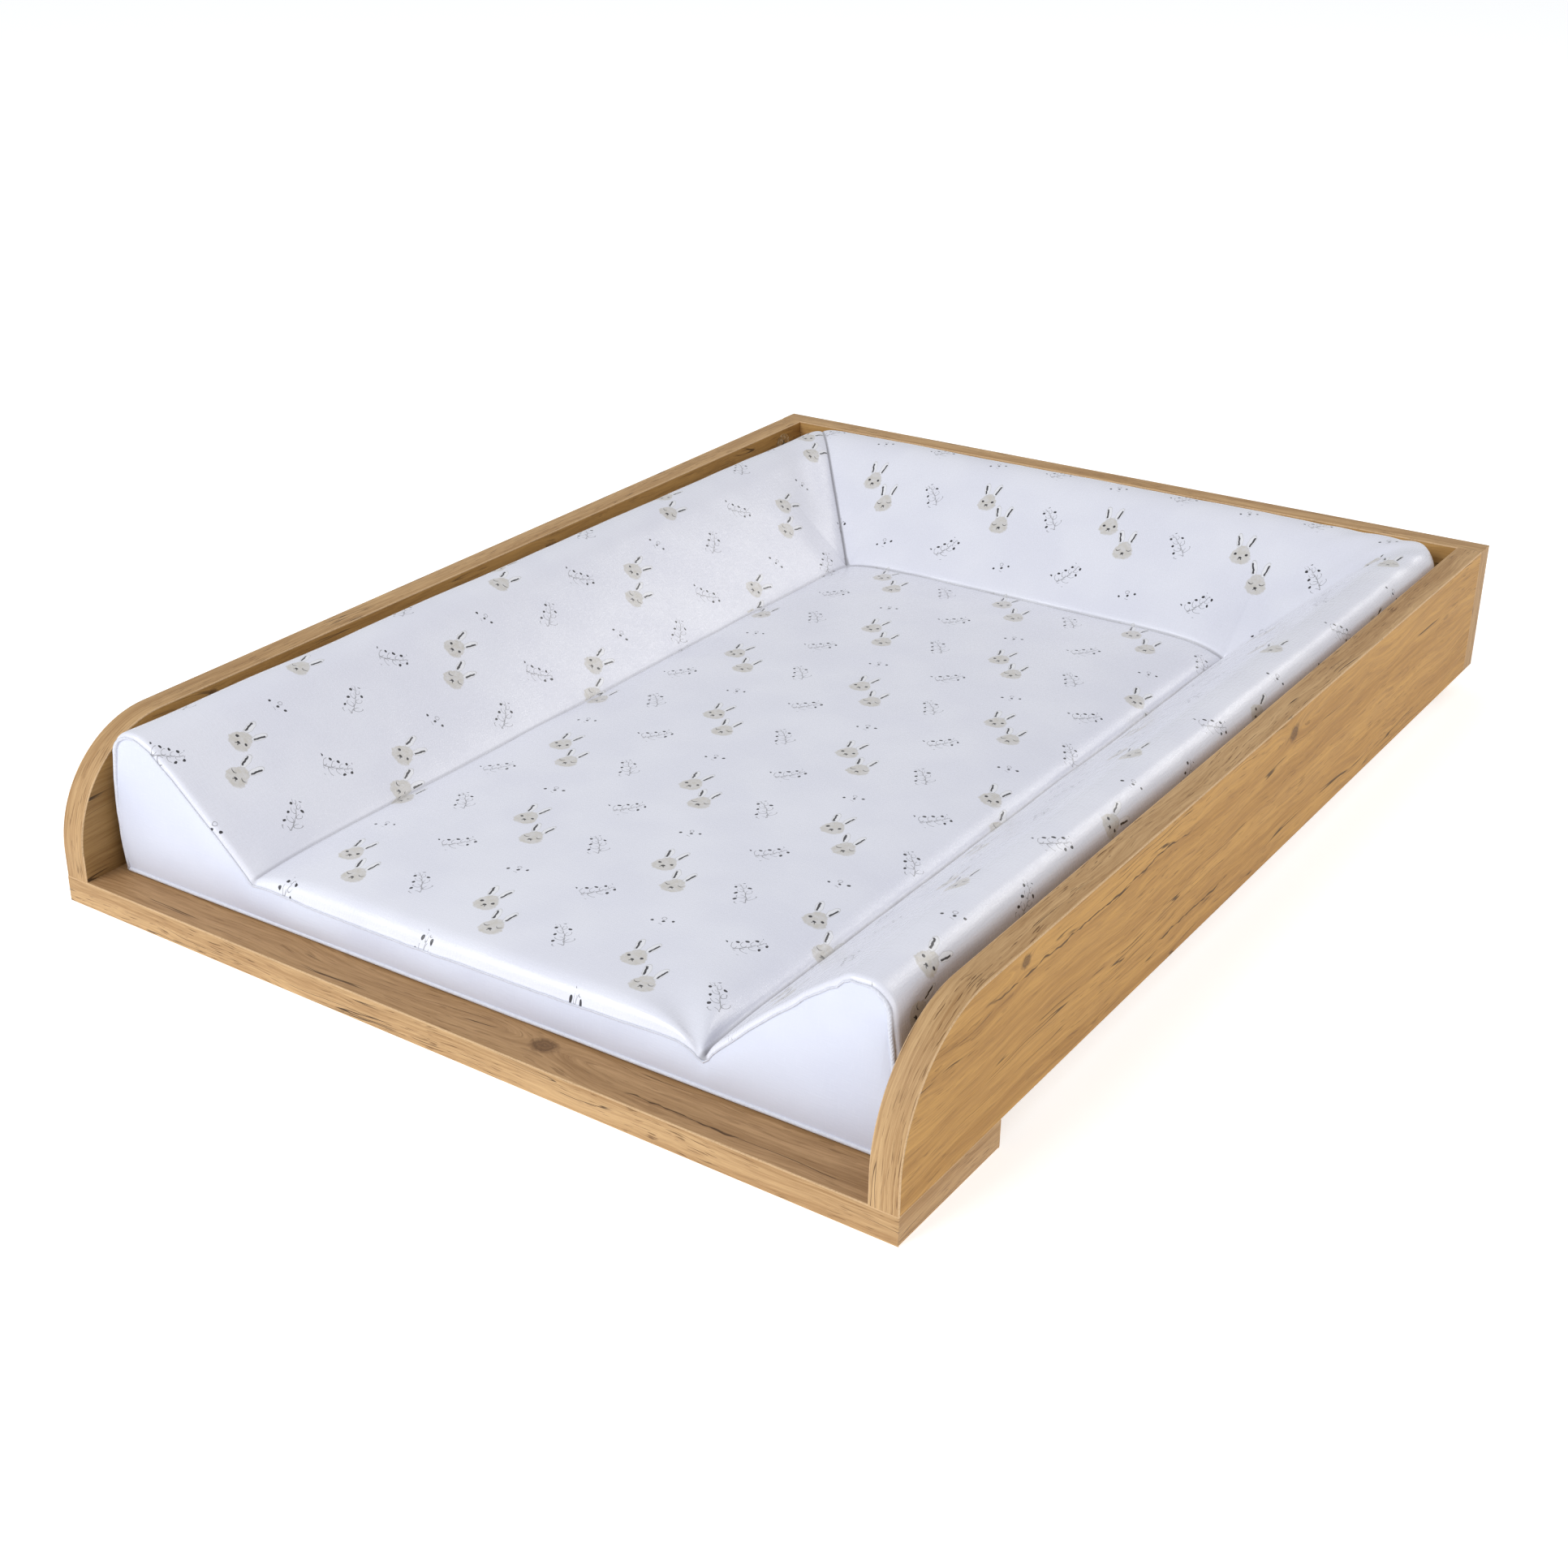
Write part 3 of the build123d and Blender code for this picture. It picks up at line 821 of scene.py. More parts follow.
def cover_point(row, column):
    """Place of a grid point before its folds, with the front roll's angle and radius there."""
    side, distance, edge_angle, wall = column
    kind, value = row
    x = distance * valley_x if side == 0 else side * (valley_x + distance)
    front_edge = pad_front + front_skew * x * (1 - wall_unskewed * wall)
    roll_radius = side_roll
    if not side:
        roll_radius += (slab_roll - side_roll) * (1 - abs(distance) ** 6)
    into_back, rear_angle = -1.0, 0.0
    if kind == "roll":
        y = front_edge + roll_radius * (1 - math.sin(value))
    elif kind == "long":
        start = front_edge + roll_radius
        y = start + value * (valley_y - start)
    elif kind == "wedge":
        into_back = value
        y = valley_y + value * rear_stretch
    else:
        rear_angle = value
        into_back = wedge_foot - crest_round + crest_round * math.sin(value)
        y = valley_y + into_back * rear_stretch
    foot = slab_height(x, min(y, valley_y))
    height = slope_height(distance, foot) if side else foot
    if into_back >= 0:
        height = max(height, slope_height(into_back, foot))
    height -= crest_round * (1 - math.cos(edge_angle) * math.cos(rear_angle))
    if wall:
        foot = pad_base + wall_end
        height = foot + (height - foot) * (1 - wall)
        belly = 4 * wall * (1 - wall)
        x += side * wall_belly * belly + side * wall_splay * wall
    return Vector((x, y, height)), value if kind == "roll" else 0.0, roll_radius


print("height in the middle:", round(slab_height(0, 0) / mm, 1), "mm")

# %% [markdown]
# Folds are small, so they are pushed along the cover's own normal. Puckers run off the front
# seams, pleats fan out of the slab's right front corner, long creases lie beside the right mitre
# and a soft dent beside the left one. Grooves follow the valleys and the left mitre, and slow
# waves lie everywhere. A cloth simulation would find its own folds, and these have to lie in known
# places.

# %% Folds of the cover
left_valley_depth, back_valley_depth = 0.4, 0.8  # against 1 for the other seams
groove_depth, groove_width = 0.0022, 0.0024
crest_middle, crest_spread = 0.068, 0.016  # where the puckers are strongest on a wedge
pucker_height, pucker_at_crest = 0.0005, {-1: 0.0004, 1: 0.0020}
pucker_pitch, wall_length = 0.0075, 0.08
pleat_height, pleat_reach, pleat_start = 0.0036, 0.034, 0.014
pleat_beat, pleat_phase = 6.2, 0.9  # of the sine that runs round the corner
gather_height, gather_pitch, gather_reach = 0.0004, 0.011, 0.018
crease_height, crease_pitch, crease_fade = 0.0015, 0.021, 0.024
crease_middle, crease_reach = 0.55, 0.62  # shares of the way along the mitre
dent_depth = 0.0030
dent_away, dent_width = 0.020, 0.016
dent_middle, dent_reach = 0.35, 0.28  # shares of the way along the mitre
slow_waves = [(0.0007, 0.075, 3.1), (0.0003, 0.028, 8.4)]  # height, length and seed


def ripple(x, y, z, scale, seed):
    """Smooth seeded noise from -1 to 1, with waves of about scale metres."""
    return noise.noise(Vector((x / scale + seed, y / scale - seed, z / scale)))


def mitre_distance(x, y, side):
    """Distance in plan from the mitre seam, and the share of the way along it."""
    start = Vector((side * valley_x, valley_y))
    run = Vector((side * wedge_foot, wedge_foot * rear_stretch))
    offset = Vector((x, y)) - start
    share = offset.dot(run) / run.length_squared
    away = (offset.x * run.y - offset.y * run.x) / run.length
    return away * side, share


def seam_gap(x, y):
    """Distance to the nearest valley or mitre seam, and how deep that seam is drawn in."""
    past_side, past_rear = abs(x) - valley_x, y - valley_y
    beside_slab = math.hypot(past_side, max(past_rear, 0)), 1.0 if x > 0 else left_valley_depth
    behind_slab = math.hypot(past_rear, max(past_side, 0)), back_valley_depth
    away, share = mitre_distance(x, y, -1)
    beyond = max(-share, 0) * wedge_foot
    left_mitre = math.hypot(away, beyond), 1.0
    return min(beside_slab, behind_slab, left_mitre)


def fold_height(place, column):
    """How far the cloth stands out at a point of the cover."""
    side, distance, _, wall = column
    x, y, z = place
    lift = sum(height * ripple(x, y, z, length, seed) for height, length, seed in slow_waves)
    from_front = y - pad_front - front_skew * x
    if side:
        steps_along = distance + wall * wall_length
        pucker = ripple(steps_along, 0, side, pucker_pitch, 5.5)
        near_crest = math.exp(-((distance - crest_middle) / crest_spread) ** 2)
        strength = pucker_height + pucker_at_crest[side] * near_crest
        lift += strength * pucker * math.exp(-from_front / pleat_start)
    else:
        pleat_x, pleat_y = valley_x - x, from_front
        reach = math.hypot(pleat_x, pleat_y)
        turn = math.atan2(pleat_y, pleat_x)
        fan = math.sin(pleat_beat * turn + pleat_phase)
        lift += pleat_height * fan * min(reach / pleat_start, 1) * math.exp(-reach / pleat_reach)
        gather = ripple(x, 0, 0, gather_pitch, 2.2)
        lift += gather_height * gather * math.exp(-from_front / gather_reach)
    gap, depth = seam_gap(x, y)
    lift -= groove_depth * depth * math.exp(-gap / groove_width)
    away, share = mitre_distance(x, y, 1)
    if x > 0 and y > valley_y - 0.02 and not wall:
        along_fade = max(0.0, 1 - abs(share - crease_middle) / crease_reach)
        crease = math.cos(2 * math.pi * (away + 0.004) / crease_pitch)
        crease *= math.exp(-abs(away + 0.006) / crease_fade)
        lift += crease_height * crease * along_fade
    away, share = mitre_distance(x, y, -1)
    if x < 0 and y > valley_y - 0.06 and not wall:
        dent = math.exp(-((away - dent_away) / dent_width) ** 2)
        lift -= dent_depth * (dent * math.exp(-((share - dent_middle) / dent_reach) ** 2))
    return lift


def swept_corner(x, y):
    """Rounds the pad's rear corners in plan."""
    centre_x, centre_y = pad_half - corner_sweep, pad_rear - corner_sweep
    if abs(x) <= centre_x or y <= centre_y:
        return x, y
    a, b = (abs(x) - centre_x) / corner_sweep, (y - centre_y) / corner_sweep
    a, b = a * math.sqrt(max(0, 1 - b * b / 2)), b * math.sqrt(max(0, 1 - a * a / 2))
    return math.copysign(centre_x + a * corner_sweep, x), centre_y + b * corner_sweep


def leaning(x, y):
    """How far the pad has shifted to the right at that point."""
    left_share = max(0.0, -x / pad_half)
    return (y - pad_front) * (rear_lean + left_lean * left_share)


print("corner of the rear edge:", [round(c, 4) for c in swept_corner(pad_half, pad_rear)])

# %% [markdown]
# The points are placed row by row. Their sheet coordinates, which the print follows, are measured
# on the flat cloth: straight across the slab, and on over each wedge by the length of its surface.

# %% Place the cover's points
def shape_cover():
    """Grid points before and after rolling, folding, rounding and leaning."""
    flat = [[cover_point(row, column) for column in columns] for row in rows]
    base = np.array([[p[0] for p in line] for line in flat])
    across = np.zeros_like(base)
    across[:, 1:-1] = base[:, 2:] - base[:, :-2]
    across[:, 0], across[:, -1] = base[:, 1] - base[:, 0], base[:, -1] - base[:, -2]
    lengthwise = np.zeros_like(base)
    lengthwise[1:-1] = base[2:] - base[:-2]
    lengthwise[0], lengthwise[-1] = base[1] - base[0], base[-1] - base[-2]
    normal = np.cross(across, lengthwise)
    normal /= np.linalg.norm(normal, axis=2, keepdims=True)
    first_run = across[roll_steps]  # the first row behind the rolled front edge
    in_section = np.stack([-first_run[:, 2], 0 * first_run[:, 0], first_run[:, 0]], axis=1)
    in_section /= np.linalg.norm(in_section, axis=1, keepdims=True)
    shaped = base.copy()
    for r in range(row_count):
        for c in range(column_count):
            _, angle, radius = flat[r][c]
            if angle:
                shaped[r, c] -= in_section[c] * radius * (1 - math.cos(angle))
                normal[r, c] = in_section[c]
            shaped[r, c] += normal[r, c] * fold_height(base[r, c], columns[c])
            x, y = swept_corner(shaped[r, c, 0], shaped[r, c, 1])
            shaped[r, c, 0], shaped[r, c, 1] = x + leaning(x, y), y
    return base, shaped


def sheet_coordinates(base):
    """Flat cloth coordinates of the grid: across in u, front to back in v."""
    middle_row = roll_steps + long_steps // 2
    section = base[middle_row]
    steps = np.linalg.norm(np.diff(section, axis=0), axis=1)
    u = np.concatenate([[0], np.cumsum(steps)])
    u -= u[column_count // 2]
    v = base[:, column_count // 2, 1].copy()
    for r in range(valley_row + 1, row_count):
        step = base[r, column_count // 2] - base[r - 1, column_count // 2]
        v[r] = v[r - 1] + np.linalg.norm(step)
    return u, v


cover_base, cover_shape = shape_cover()
sheet_u, sheet_v = sheet_coordinates(cover_base)
print("sheet is", round(sheet_u[-1] - sheet_u[0], 3), "by", round(sheet_v[-1] - sheet_v[0], 3), "m")

# %% [markdown]
# ## Coated fabric
# The cover is cotton with a thin clear coat that wipes clean. Its weave shows as an embossed linen
# cross-hatch of long and short threads, which breaks up the gloss on the crests. The same group
# serves the printed sheet, the end panels and the underside.

# %% Linen group
def build_linen():
    takes = {"Cloth": ("vector", (0, 0, 0)), "Thread": ("value", 1.0)}
    gives = {"Height": "value", "Slub": "value", "Cloud": "value"}
    w, given, out = new_group("linen emboss", takes, gives)
    size = w.math("DIVIDE", 1.0, given["Thread"])
    scaled = w.vector("MULTIPLY", given["Cloth"], w.join(size, size, size))
    warp = w.noise(scaled, 2.0, 0.6, stretch=(0.95, 0.11, 1.0))
    weft = w.noise(scaled, 2.0, 0.6, stretch=(0.11, 0.95, 1.0))
    w.feed(out["Height"], w.math("ADD", warp, weft))
    slub = w.larger(w.spread(warp, 0.55, 0.72), w.spread(weft, 0.55, 0.72))
    w.feed(out["Slub"], slub)
    w.feed(out["Cloud"], w.noise(given["Cloth"], 2.0, stretch=(0.02, 0.02, 0.02)))
    return w.tree


linen = build_linen()
print(linen.name, "has", len(linen.nodes), "nodes")

# %% [markdown]
# ## The nursery print
# The print repeats on a slanted grid: a pair of rabbit heads, one awake and one asleep, two leafy
# sprigs with berries and a group of three dots. Each motif is drawn with a few soft-edged shapes
# whose size is in millimetres on the flat cloth, so it stays the same on every panel.

# %% Drawing groups
def edge_mask(w, distance, radius, softness=0.16):
    """Ink inside radius, with the soft edge of pigment on cloth."""
    outer, inner = w.math("ADD", radius, softness), w.minus(radius, softness)
    return w.spread(distance, inner, outer, 1.0, 0.0)


def build_repeat():
    takes = {"Cloth": ("vector", (0, 0, 0)), "Place": ("vector", (0, 0, 0)), "Turn": ("value", 0.0)}
    w, given, out = new_group("print repeat", takes, {"Point": "vector"})
    pitch, row_height, row_shift = 96.0, 87.4, 50.0
    x, y, _ = w.split(w.vector("SUBTRACT", given["Cloth"], given["Place"]))
    row = w.math("ROUND", w.math("DIVIDE", y, row_height))
    y = w.math("MULTIPLY_ADD", row, -row_height, y)
    x = w.math("MULTIPLY_ADD", row, -row_shift, x)
    column = w.math("ROUND", w.math("DIVIDE", x, pitch))
    x = w.math("MULTIPLY_ADD", column, -pitch, x)
    turned = w.put("ShaderNodeVectorRotate", {"Vector": w.join(x, y), "Angle": given["Turn"]},
                   rotation_type="Z_AXIS")
    w.feed(out["Point"], turned.outputs[0])
    return w.tree


def build_spot():
    takes = {"Point": ("vector", (0, 0, 0)), "Place": ("vector", (0, 0, 0)),
             "Squash": ("vector", (1, 1, 1)), "Radius": ("value", 1.0)}
    w, given, out = new_group("ink spot", takes, {"Ink": "value"})
    away = w.vector("SUBTRACT", given["Point"], given["Place"])
    distance = w.vector("LENGTH", w.vector("MULTIPLY", away, given["Squash"]))
    w.feed(out["Ink"], edge_mask(w, distance, given["Radius"]))
    return w.tree


def build_stroke():
    takes = {"Point": ("vector", (0, 0, 0)), "Start": ("vector", (0, 0, 0)),
             "End": ("vector", (0, 1, 0)), "Width": ("value", 0.3)}
    w, given, out = new_group("pen stroke", takes, {"Ink": "value"})
    run = w.vector("SUBTRACT", given["End"], given["Start"])
    away = w.vector("SUBTRACT", given["Point"], given["Start"])
    share = w.math("DIVIDE", w.vector("DOT_PRODUCT", away, run), w.vector("DOT_PRODUCT", run, run),
                   clamp=True)
    nearest = w.vector("MULTIPLY", run, w.join(share, share, share))
    distance = w.vector("LENGTH", w.vector("SUBTRACT", away, nearest))
    w.feed(out["Ink"], edge_mask(w, distance, given["Width"]))
    return w.tree


def outline(w, radius, thickness, **spot):
    """A spot's ink and the ring of pen round its edge."""
    ink = w.use(ink_spot, Radius=radius, **spot)["Ink"]
    inside = w.use(ink_spot, Radius=radius - thickness, **spot)["Ink"]
    return ink, w.minus(ink, inside, clamp=True)


print_repeat, ink_spot, pen_stroke = build_repeat(), build_spot(), build_stroke()
print("drawing groups:", print_repeat.name, ink_spot.name, pen_stroke.name)

# %% Rabbit head group
def build_rabbit_head():
    """A plain rabbit head, mirrored about its middle: wide cheeks, two upright ears, a dot nose."""
    takes = {"Point": ("vector", (0, 0, 0)), "Awake": ("value", 1.0)}
    gives = {"Fur": "value", "Ear": "value", "Pen": "value", "Ink": "value"}
    w, given, out = new_group("rabbit head", takes, gives)
    point = w.vector("MULTIPLY", given["Point"], (0.88, 0.88, 0.0))
    wobble = w.noise(point, 2.0, stretch=(0.55, 0.55, 0.0))
    x, y, _ = w.split(point)
    half = w.join(w.math("ABSOLUTE", x), y)
    cheeks = w.math("MULTIPLY_ADD", y, 0.055, 1.16)
    face = w.vector("LENGTH", w.join(w.times(x, cheeks), w.times(y, 0.98)))
    face = w.math("MULTIPLY_ADD", w.minus(wobble, 0.5), 2.0, face)
    w.feed(out["Fur"], w.spread(face, 6.0, 6.9, 1.0, 0.0))
    leaned = w.put("ShaderNodeVectorRotate", {"Vector": half, "Center": (2.6, 5.5, 0),
                                              "Angle": math.radians(11)}, rotation_type="Z_AXIS")
    ear, ear_ring = outline(w, 5.3, 0.7, Point=leaned.outputs[0], Place=(2.6, 10.0, 0),
                            Squash=(2.7, 1, 1))
    w.feed(out["Ear"], ear)
    w.feed(out["Pen"], ear_ring)
    ear_line = w.use(pen_stroke, Point=half, Start=(3.3, 6.6, 0), End=(4.7, 12.6, 0), Width=0.5)
    eye = w.use(ink_spot, Point=half, Place=(3.2, 0.2, 0), Radius=0.85)["Ink"]
    lid = w.use(ink_spot, Point=half, Place=(3.3, 0.9, 0), Radius=1.5)["Ink"]
    lid_inside = w.use(ink_spot, Point=half, Place=(3.3, 1.45, 0), Radius=1.55)["Ink"]
    asleep = w.minus(lid, lid_inside, clamp=True)
    eyes = w.put("ShaderNodeMix", {0: given["Awake"], 2: asleep, 3: eye}).outputs[0]
    nose = w.use(ink_spot, Point=half, Place=(0, -2.2, 0), Squash=(0.8, 1.2, 1), Radius=0.8)["Ink"]
    mouth = w.use(pen_stroke, Point=half, Start=(0, -2.4, 0), End=(0.9, -3.5, 0), Width=0.2)["Ink"]
    ink = w.larger(ear_line["Ink"], eyes)
    w.feed(out["Ink"], w.larger(ink, w.larger(nose, mouth)))
    return w.tree


rabbit_head = build_rabbit_head()
print(rabbit_head.name, "has", len(rabbit_head.nodes), "nodes")

# %% Sprig and dots groups
def build_sprig():
    """A curved stem with pairs of outlined leaves and a berry beside each pair."""
    takes = {"Point": ("vector", (0, 0, 0)), "Length": ("value", 16.0), "Pitch": ("value", 4.2)}
    w, given, out = new_group("berry sprig", takes, {"Pen": "value", "Ink": "value"})
    x, y, _ = w.split(w.vector("MULTIPLY", given["Point"], (0.88, 0.88, 0.0)))
    x = w.math("MULTIPLY_ADD", w.times(y, y), 0.014, x)
    side = w.math("SIGN", x)
    half_length = w.times(given["Length"], 0.5)
    taper = w.spread(w.math("DIVIDE", y, half_length), -1.0, 1.0, 1.30, 0.50)
    out_x = w.math("DIVIDE", w.math("ABSOLUTE", x), taper)
    shifted = w.math("MULTIPLY_ADD", w.times(side, given["Pitch"]), 0.22, y)
    inside = w.spread(w.math("ABSOLUTE", y), w.minus(half_length, 0.4), half_length, 1.0, 0.0)
    beat = w.math("ROUND", w.math("DIVIDE", shifted, given["Pitch"]))
    local_y = w.minus(shifted, w.times(beat, given["Pitch"]))
    local = w.join(out_x, local_y)
    leaned = w.put("ShaderNodeVectorRotate", {"Vector": local, "Center": (0, 0, 0),
                                              "Angle": math.radians(-35)}, rotation_type="Z_AXIS")
    _, leaf = outline(w, 2.5, 0.5, Point=leaned.outputs[0], Place=(2.7, 0, 0),
                      Squash=(1, 2.0, 1))
    stem = w.spread(out_x, 0.08, 0.30, 1.0, 0.0)
    w.feed(out["Pen"], w.times(w.larger(leaf, stem), inside))
    chance = w.put("ShaderNodeTexWhiteNoise", {"Vector": w.join(beat, side)},
                   noise_dimensions="2D").outputs["Value"]
    reach = w.math("MULTIPLY_ADD", chance, 3.6, 2.6)
    berry_y = w.math("MULTIPLY_ADD", chance, -1.6, 0.6)
    berry = w.vector("DISTANCE", w.join(w.times(out_x, taper), local_y),
                     w.join(w.times(reach, taper), berry_y))
    grown = w.times(w.spread(chance, 0.30, 0.34), inside)
    w.feed(out["Ink"], w.times(w.spread(berry, 0.72, 0.94, 1.0, 0.0), grown))
    return w.tree


def build_three_dots():
    takes = {"Point": ("vector", (0, 0, 0))}
    w, given, out = new_group("three dots", takes, {"Pen": "value", "Ink": "value"})
    ink = 0.0
    for spot in ((-5.0, -1.6, 0), (0.6, 0.2, 0), (5.0, 2.6, 0)):
        dot = w.use(ink_spot, Point=given["Point"], Place=spot, Radius=0.85)["Ink"]
        ink = w.larger(ink, dot)
    w.feed(out["Ink"], ink)
    _, leaf = outline(w, 1.4, 0.4, Point=given["Point"], Place=(-0.6, 2.9, 0))
    stem = w.use(pen_stroke, Point=given["Point"], Start=(-0.4, -2.4, 0), End=(1.8, -2.9, 0),
                 Width=0.16)["Ink"]
    w.feed(out["Pen"], w.larger(leaf, stem))
    return w.tree


berry_sprig, three_dots = build_sprig(), build_three_dots()
print(berry_sprig.name, "and", three_dots.name)

# %% [markdown]
# The printed sheet stacks the inks as a printer does: pale fur first, then ears a little whiter
# than the cloth, grey pen lines for the leaves and near-black ink last. The cloth's own colour is
# a cool white with faint clouds, and its clear coat is glossy enough to catch the high light.
# Where a seam draws the cloth in, a painted shade darkens a line about a millimetre wide.

# %% Fabric finishes
def fabric_base(w, shader, cloth, tone, gloss):
    """Sets the weave's bump and roughness, and hands back the cloth's clouded colour."""
    weave = w.use(linen, Cloth=cloth, Thread=0.9)
    cloud = w.spread(weave["Cloud"], 0.35, 0.65)
    shade = (tone[0] * 0.955, tone[1] * 0.955, tone[2] * 0.97, 1.0)
    colour = w.blend(cloud, shade, tone)
    lighter = tuple(min(c * 1.03, 1.0) for c in tone)
    colour = w.blend(w.times(weave["Slub"], 0.35), colour, lighter)
    low, high = gloss
    w.feed(shader.inputs["Roughness"], w.spread(weave["Height"], 0.7, 1.3, high, low))
    w.emboss(shader, weave["Height"], strength=0.26, distance=0.0004)
    return colour


first_head = (-110.3, -130.0)  # millimetres on the flat cloth
head_places = [(1.0, (0, 0), -0.10), (0.0, (18.0, -17.0), -0.16)]  # awake, step and turn
sprig_places = [((40.0, 42.0), 0.55, 17.0, 4.4), ((53.5, -3.0), -0.75, 19.0, 5.6)]
dots_place = (-10.0, 36.0)
fur_grey, ear_white = srgb(202, 197, 190), srgb(236, 235, 236)
# The last colour here is the grey of the painted shade along the seams.
pen_grey, ink_black, seam_shade_grey = srgb(122, 120, 122), srgb(38, 35, 40), srgb(112, 108, 110)


def printed_cover():
    material, w, shader = new_finish("printed coated cotton", Specular_IOR_Level=0.5,
                                     Sheen_Weight=0.05, Coat_Weight=0.35, Coat_Roughness=0.20)
    sheet = w.put("ShaderNodeUVMap", uv_map="sheet").outputs[0]
    cloth = w.vector("MULTIPLY", sheet, (1000, 1000, 0))
    colour = fabric_base(w, shader, cloth, srgb(229, 229, 238), (0.20, 0.40))
    hand = w.noise(cloth, 1.0, stretch=(0.35, 0.35, 0.0))
    drift = w.times(w.minus(hand, 0.5), 1.1)
    drawn = w.vector("ADD", cloth, w.join(drift, drift))
    fur, ear, pen, ink = 0.0, 0.0, 0.0, 0.0

    def motif(group, step, turn=0.0, **shape):
        """One motif of the repeat, at a step in millimetres from the first head."""
        place = (first_head[0] + step[0], first_head[1] + step[1], 0.0)
        point = w.use(print_repeat, Cloth=drawn, Place=place, Turn=turn)["Point"]
        return w.use(group, Point=point, **shape)

    for awake, step, turn in head_places:
        head = motif(rabbit_head, step, turn, Awake=awake)
        fur = w.larger(fur, head["Fur"])
        ear = w.larger(ear, head["Ear"])
        pen = w.larger(pen, w.times(head["Pen"], 0.45))
        ink = w.larger(ink, head["Ink"])
    sprigs = [motif(berry_sprig, step, turn, Length=length, Pitch=pitch)
              for step, turn, length, pitch in sprig_places]
    for drawing in (*sprigs, motif(three_dots, dots_place)):
        pen = w.larger(pen, drawing["Pen"])
        ink = w.larger(ink, drawing["Ink"])
    wash = w.noise(cloth, 3.0, 0.6, stretch=(0.3, 0.3, 0.0))
    fur_share = w.times(fur, w.spread(wash, 0.3, 0.7, 0.65, 1.0))
    colour = w.blend(fur_share, colour, fur_grey)
    colour = w.blend(w.times(ear, 0.6), colour, ear_white)
    colour = w.blend(w.times(pen, 0.72), colour, pen_grey)
    colour = w.blend(w.times(ink, 0.98), colour, ink_black)
    # Painted shade: a grey line about a millimetre wide along the valleys and the left mitre,
    # stronger where a seam is drawn in deeper.
    seams = w.put("ShaderNodeUVMap", uv_map="seams").outputs[0]
    gap, depth, _ = w.split(w.vector("MULTIPLY", seams, (1000, 1, 0)))
    shadow = w.times(w.spread(gap, 0.3, 1.3, 0.62, 0.0), depth)
    w.paint(shader, w.blend(shadow, colour, seam_shade_grey))
    return material


def plain_cover(name, tone, gloss):
    """The same cloth without print. Object coordinates follow its weave well enough on panels."""
    material, w, shader = new_finish(name, Specular_IOR_Level=0.45, Sheen_Weight=0.08)
    x, y, z = w.split(w.millimetres())
    cloth = w.join(x, w.math("ADD", y, z))
    w.paint(shader, fabric_base(w, shader, cloth, tone, gloss))
    return material


def welt_finish():
    """Rolled cloth over a thin cord, with twisted ridges and gathered folds, painted darker in the
    folds' hollows as shade.
    """
    material, w, shader = new_finish("rolled welt", Specular_IOR_Level=0.4, Roughness=0.5)
    seam = w.put("ShaderNodeUVMap", uv_map="seam").outputs[0]
    along, around, _ = w.split(w.vector("MULTIPLY", seam, (1000, 1, 0)))
    twist = w.math("SINE", w.math("MULTIPLY_ADD", along, 3.4, w.times(around, 6.283)))
    gathers_and_shade = w.noise(w.join(w.times(along, 0.35), around), 3.0)
    # Painted shade: the welt's colour darkens where the gathered folds sink.
    colour = w.blend(gathers_and_shade, srgb(196, 198, 210), srgb(230, 231, 239))
    w.paint(shader, colour)
    w.emboss(shader, w.math("MULTIPLY_ADD", twist, 0.25, gathers_and_shade), strength=0.5, distance=0.0004)
    return material


printed_cotton = printed_cover()
plain_cotton = plain_cover("plain coated cotton", srgb(214, 217, 231), (0.40, 0.55))
underside_cloth = plain_cover("plain underside cloth", srgb(224, 226, 234), (0.5, 0.65))
welt_cloth = welt_finish()
print("printed cover has", len(printed_cotton.node_tree.nodes), "nodes")

# %% [markdown]
# ## Cover pieces
# The printed sheet is the grid itself. A face on the back wedge takes the cloth's coordinates from
# the back wedge and every other face from the side sections, so that the print is cut at the mitre
# seams as it is on a sewn pad. Faces on a mitre are split along it, the seams' edges are creased,
# and one subdivision smooths the small folds between them.

# %% Printed top sheet
wedge_print_shift = {"left": Vector((-0.008, 0.006)), "back": Vector((-0.013, 0.005))}


def sheet_place(row, column, on_back):
    """Flat cloth coordinates of a grid point, as part of the back wedge or of a side section."""
    if on_back:
        flat = Vector((cover_base[row, column, 0], sheet_v[row])) - wedge_print_shift["back"]
    else:
        flat = Vector((sheet_u[column], cover_base[row, column, 1]))
        if columns[column][0] < 0:
            flat -= wedge_print_shift["left"]
    return flat


def cells_of_cover():
    """Faces of the cover as (corners, on the back wedge). Cells on a mitre are cut in two."""
    cells = []
    for row in range(row_count - 1):
        for column in range(column_count - 1):
            near, far = row * column_count + column, (row + 1) * column_count + column
            steps_back = row - valley_row
            steps_out = max(column - right_valley, left_valley - column - 1)
            if steps_back < 0 or steps_out > steps_back or steps_out >= edge_steps:
                cells.append(((near, near + 1, far + 1, far), False))
            elif steps_out < steps_back:
                cells.append(((near, near + 1, far + 1, far), True))
            elif column >= right_valley:
                cells.append(((near, near + 1, far + 1), False))
                cells.append(((near, far + 1, far), True))
            else:
                cells.append(((near, near + 1, far), False))
                cells.append(((near + 1, far + 1, far), True))
    return cells


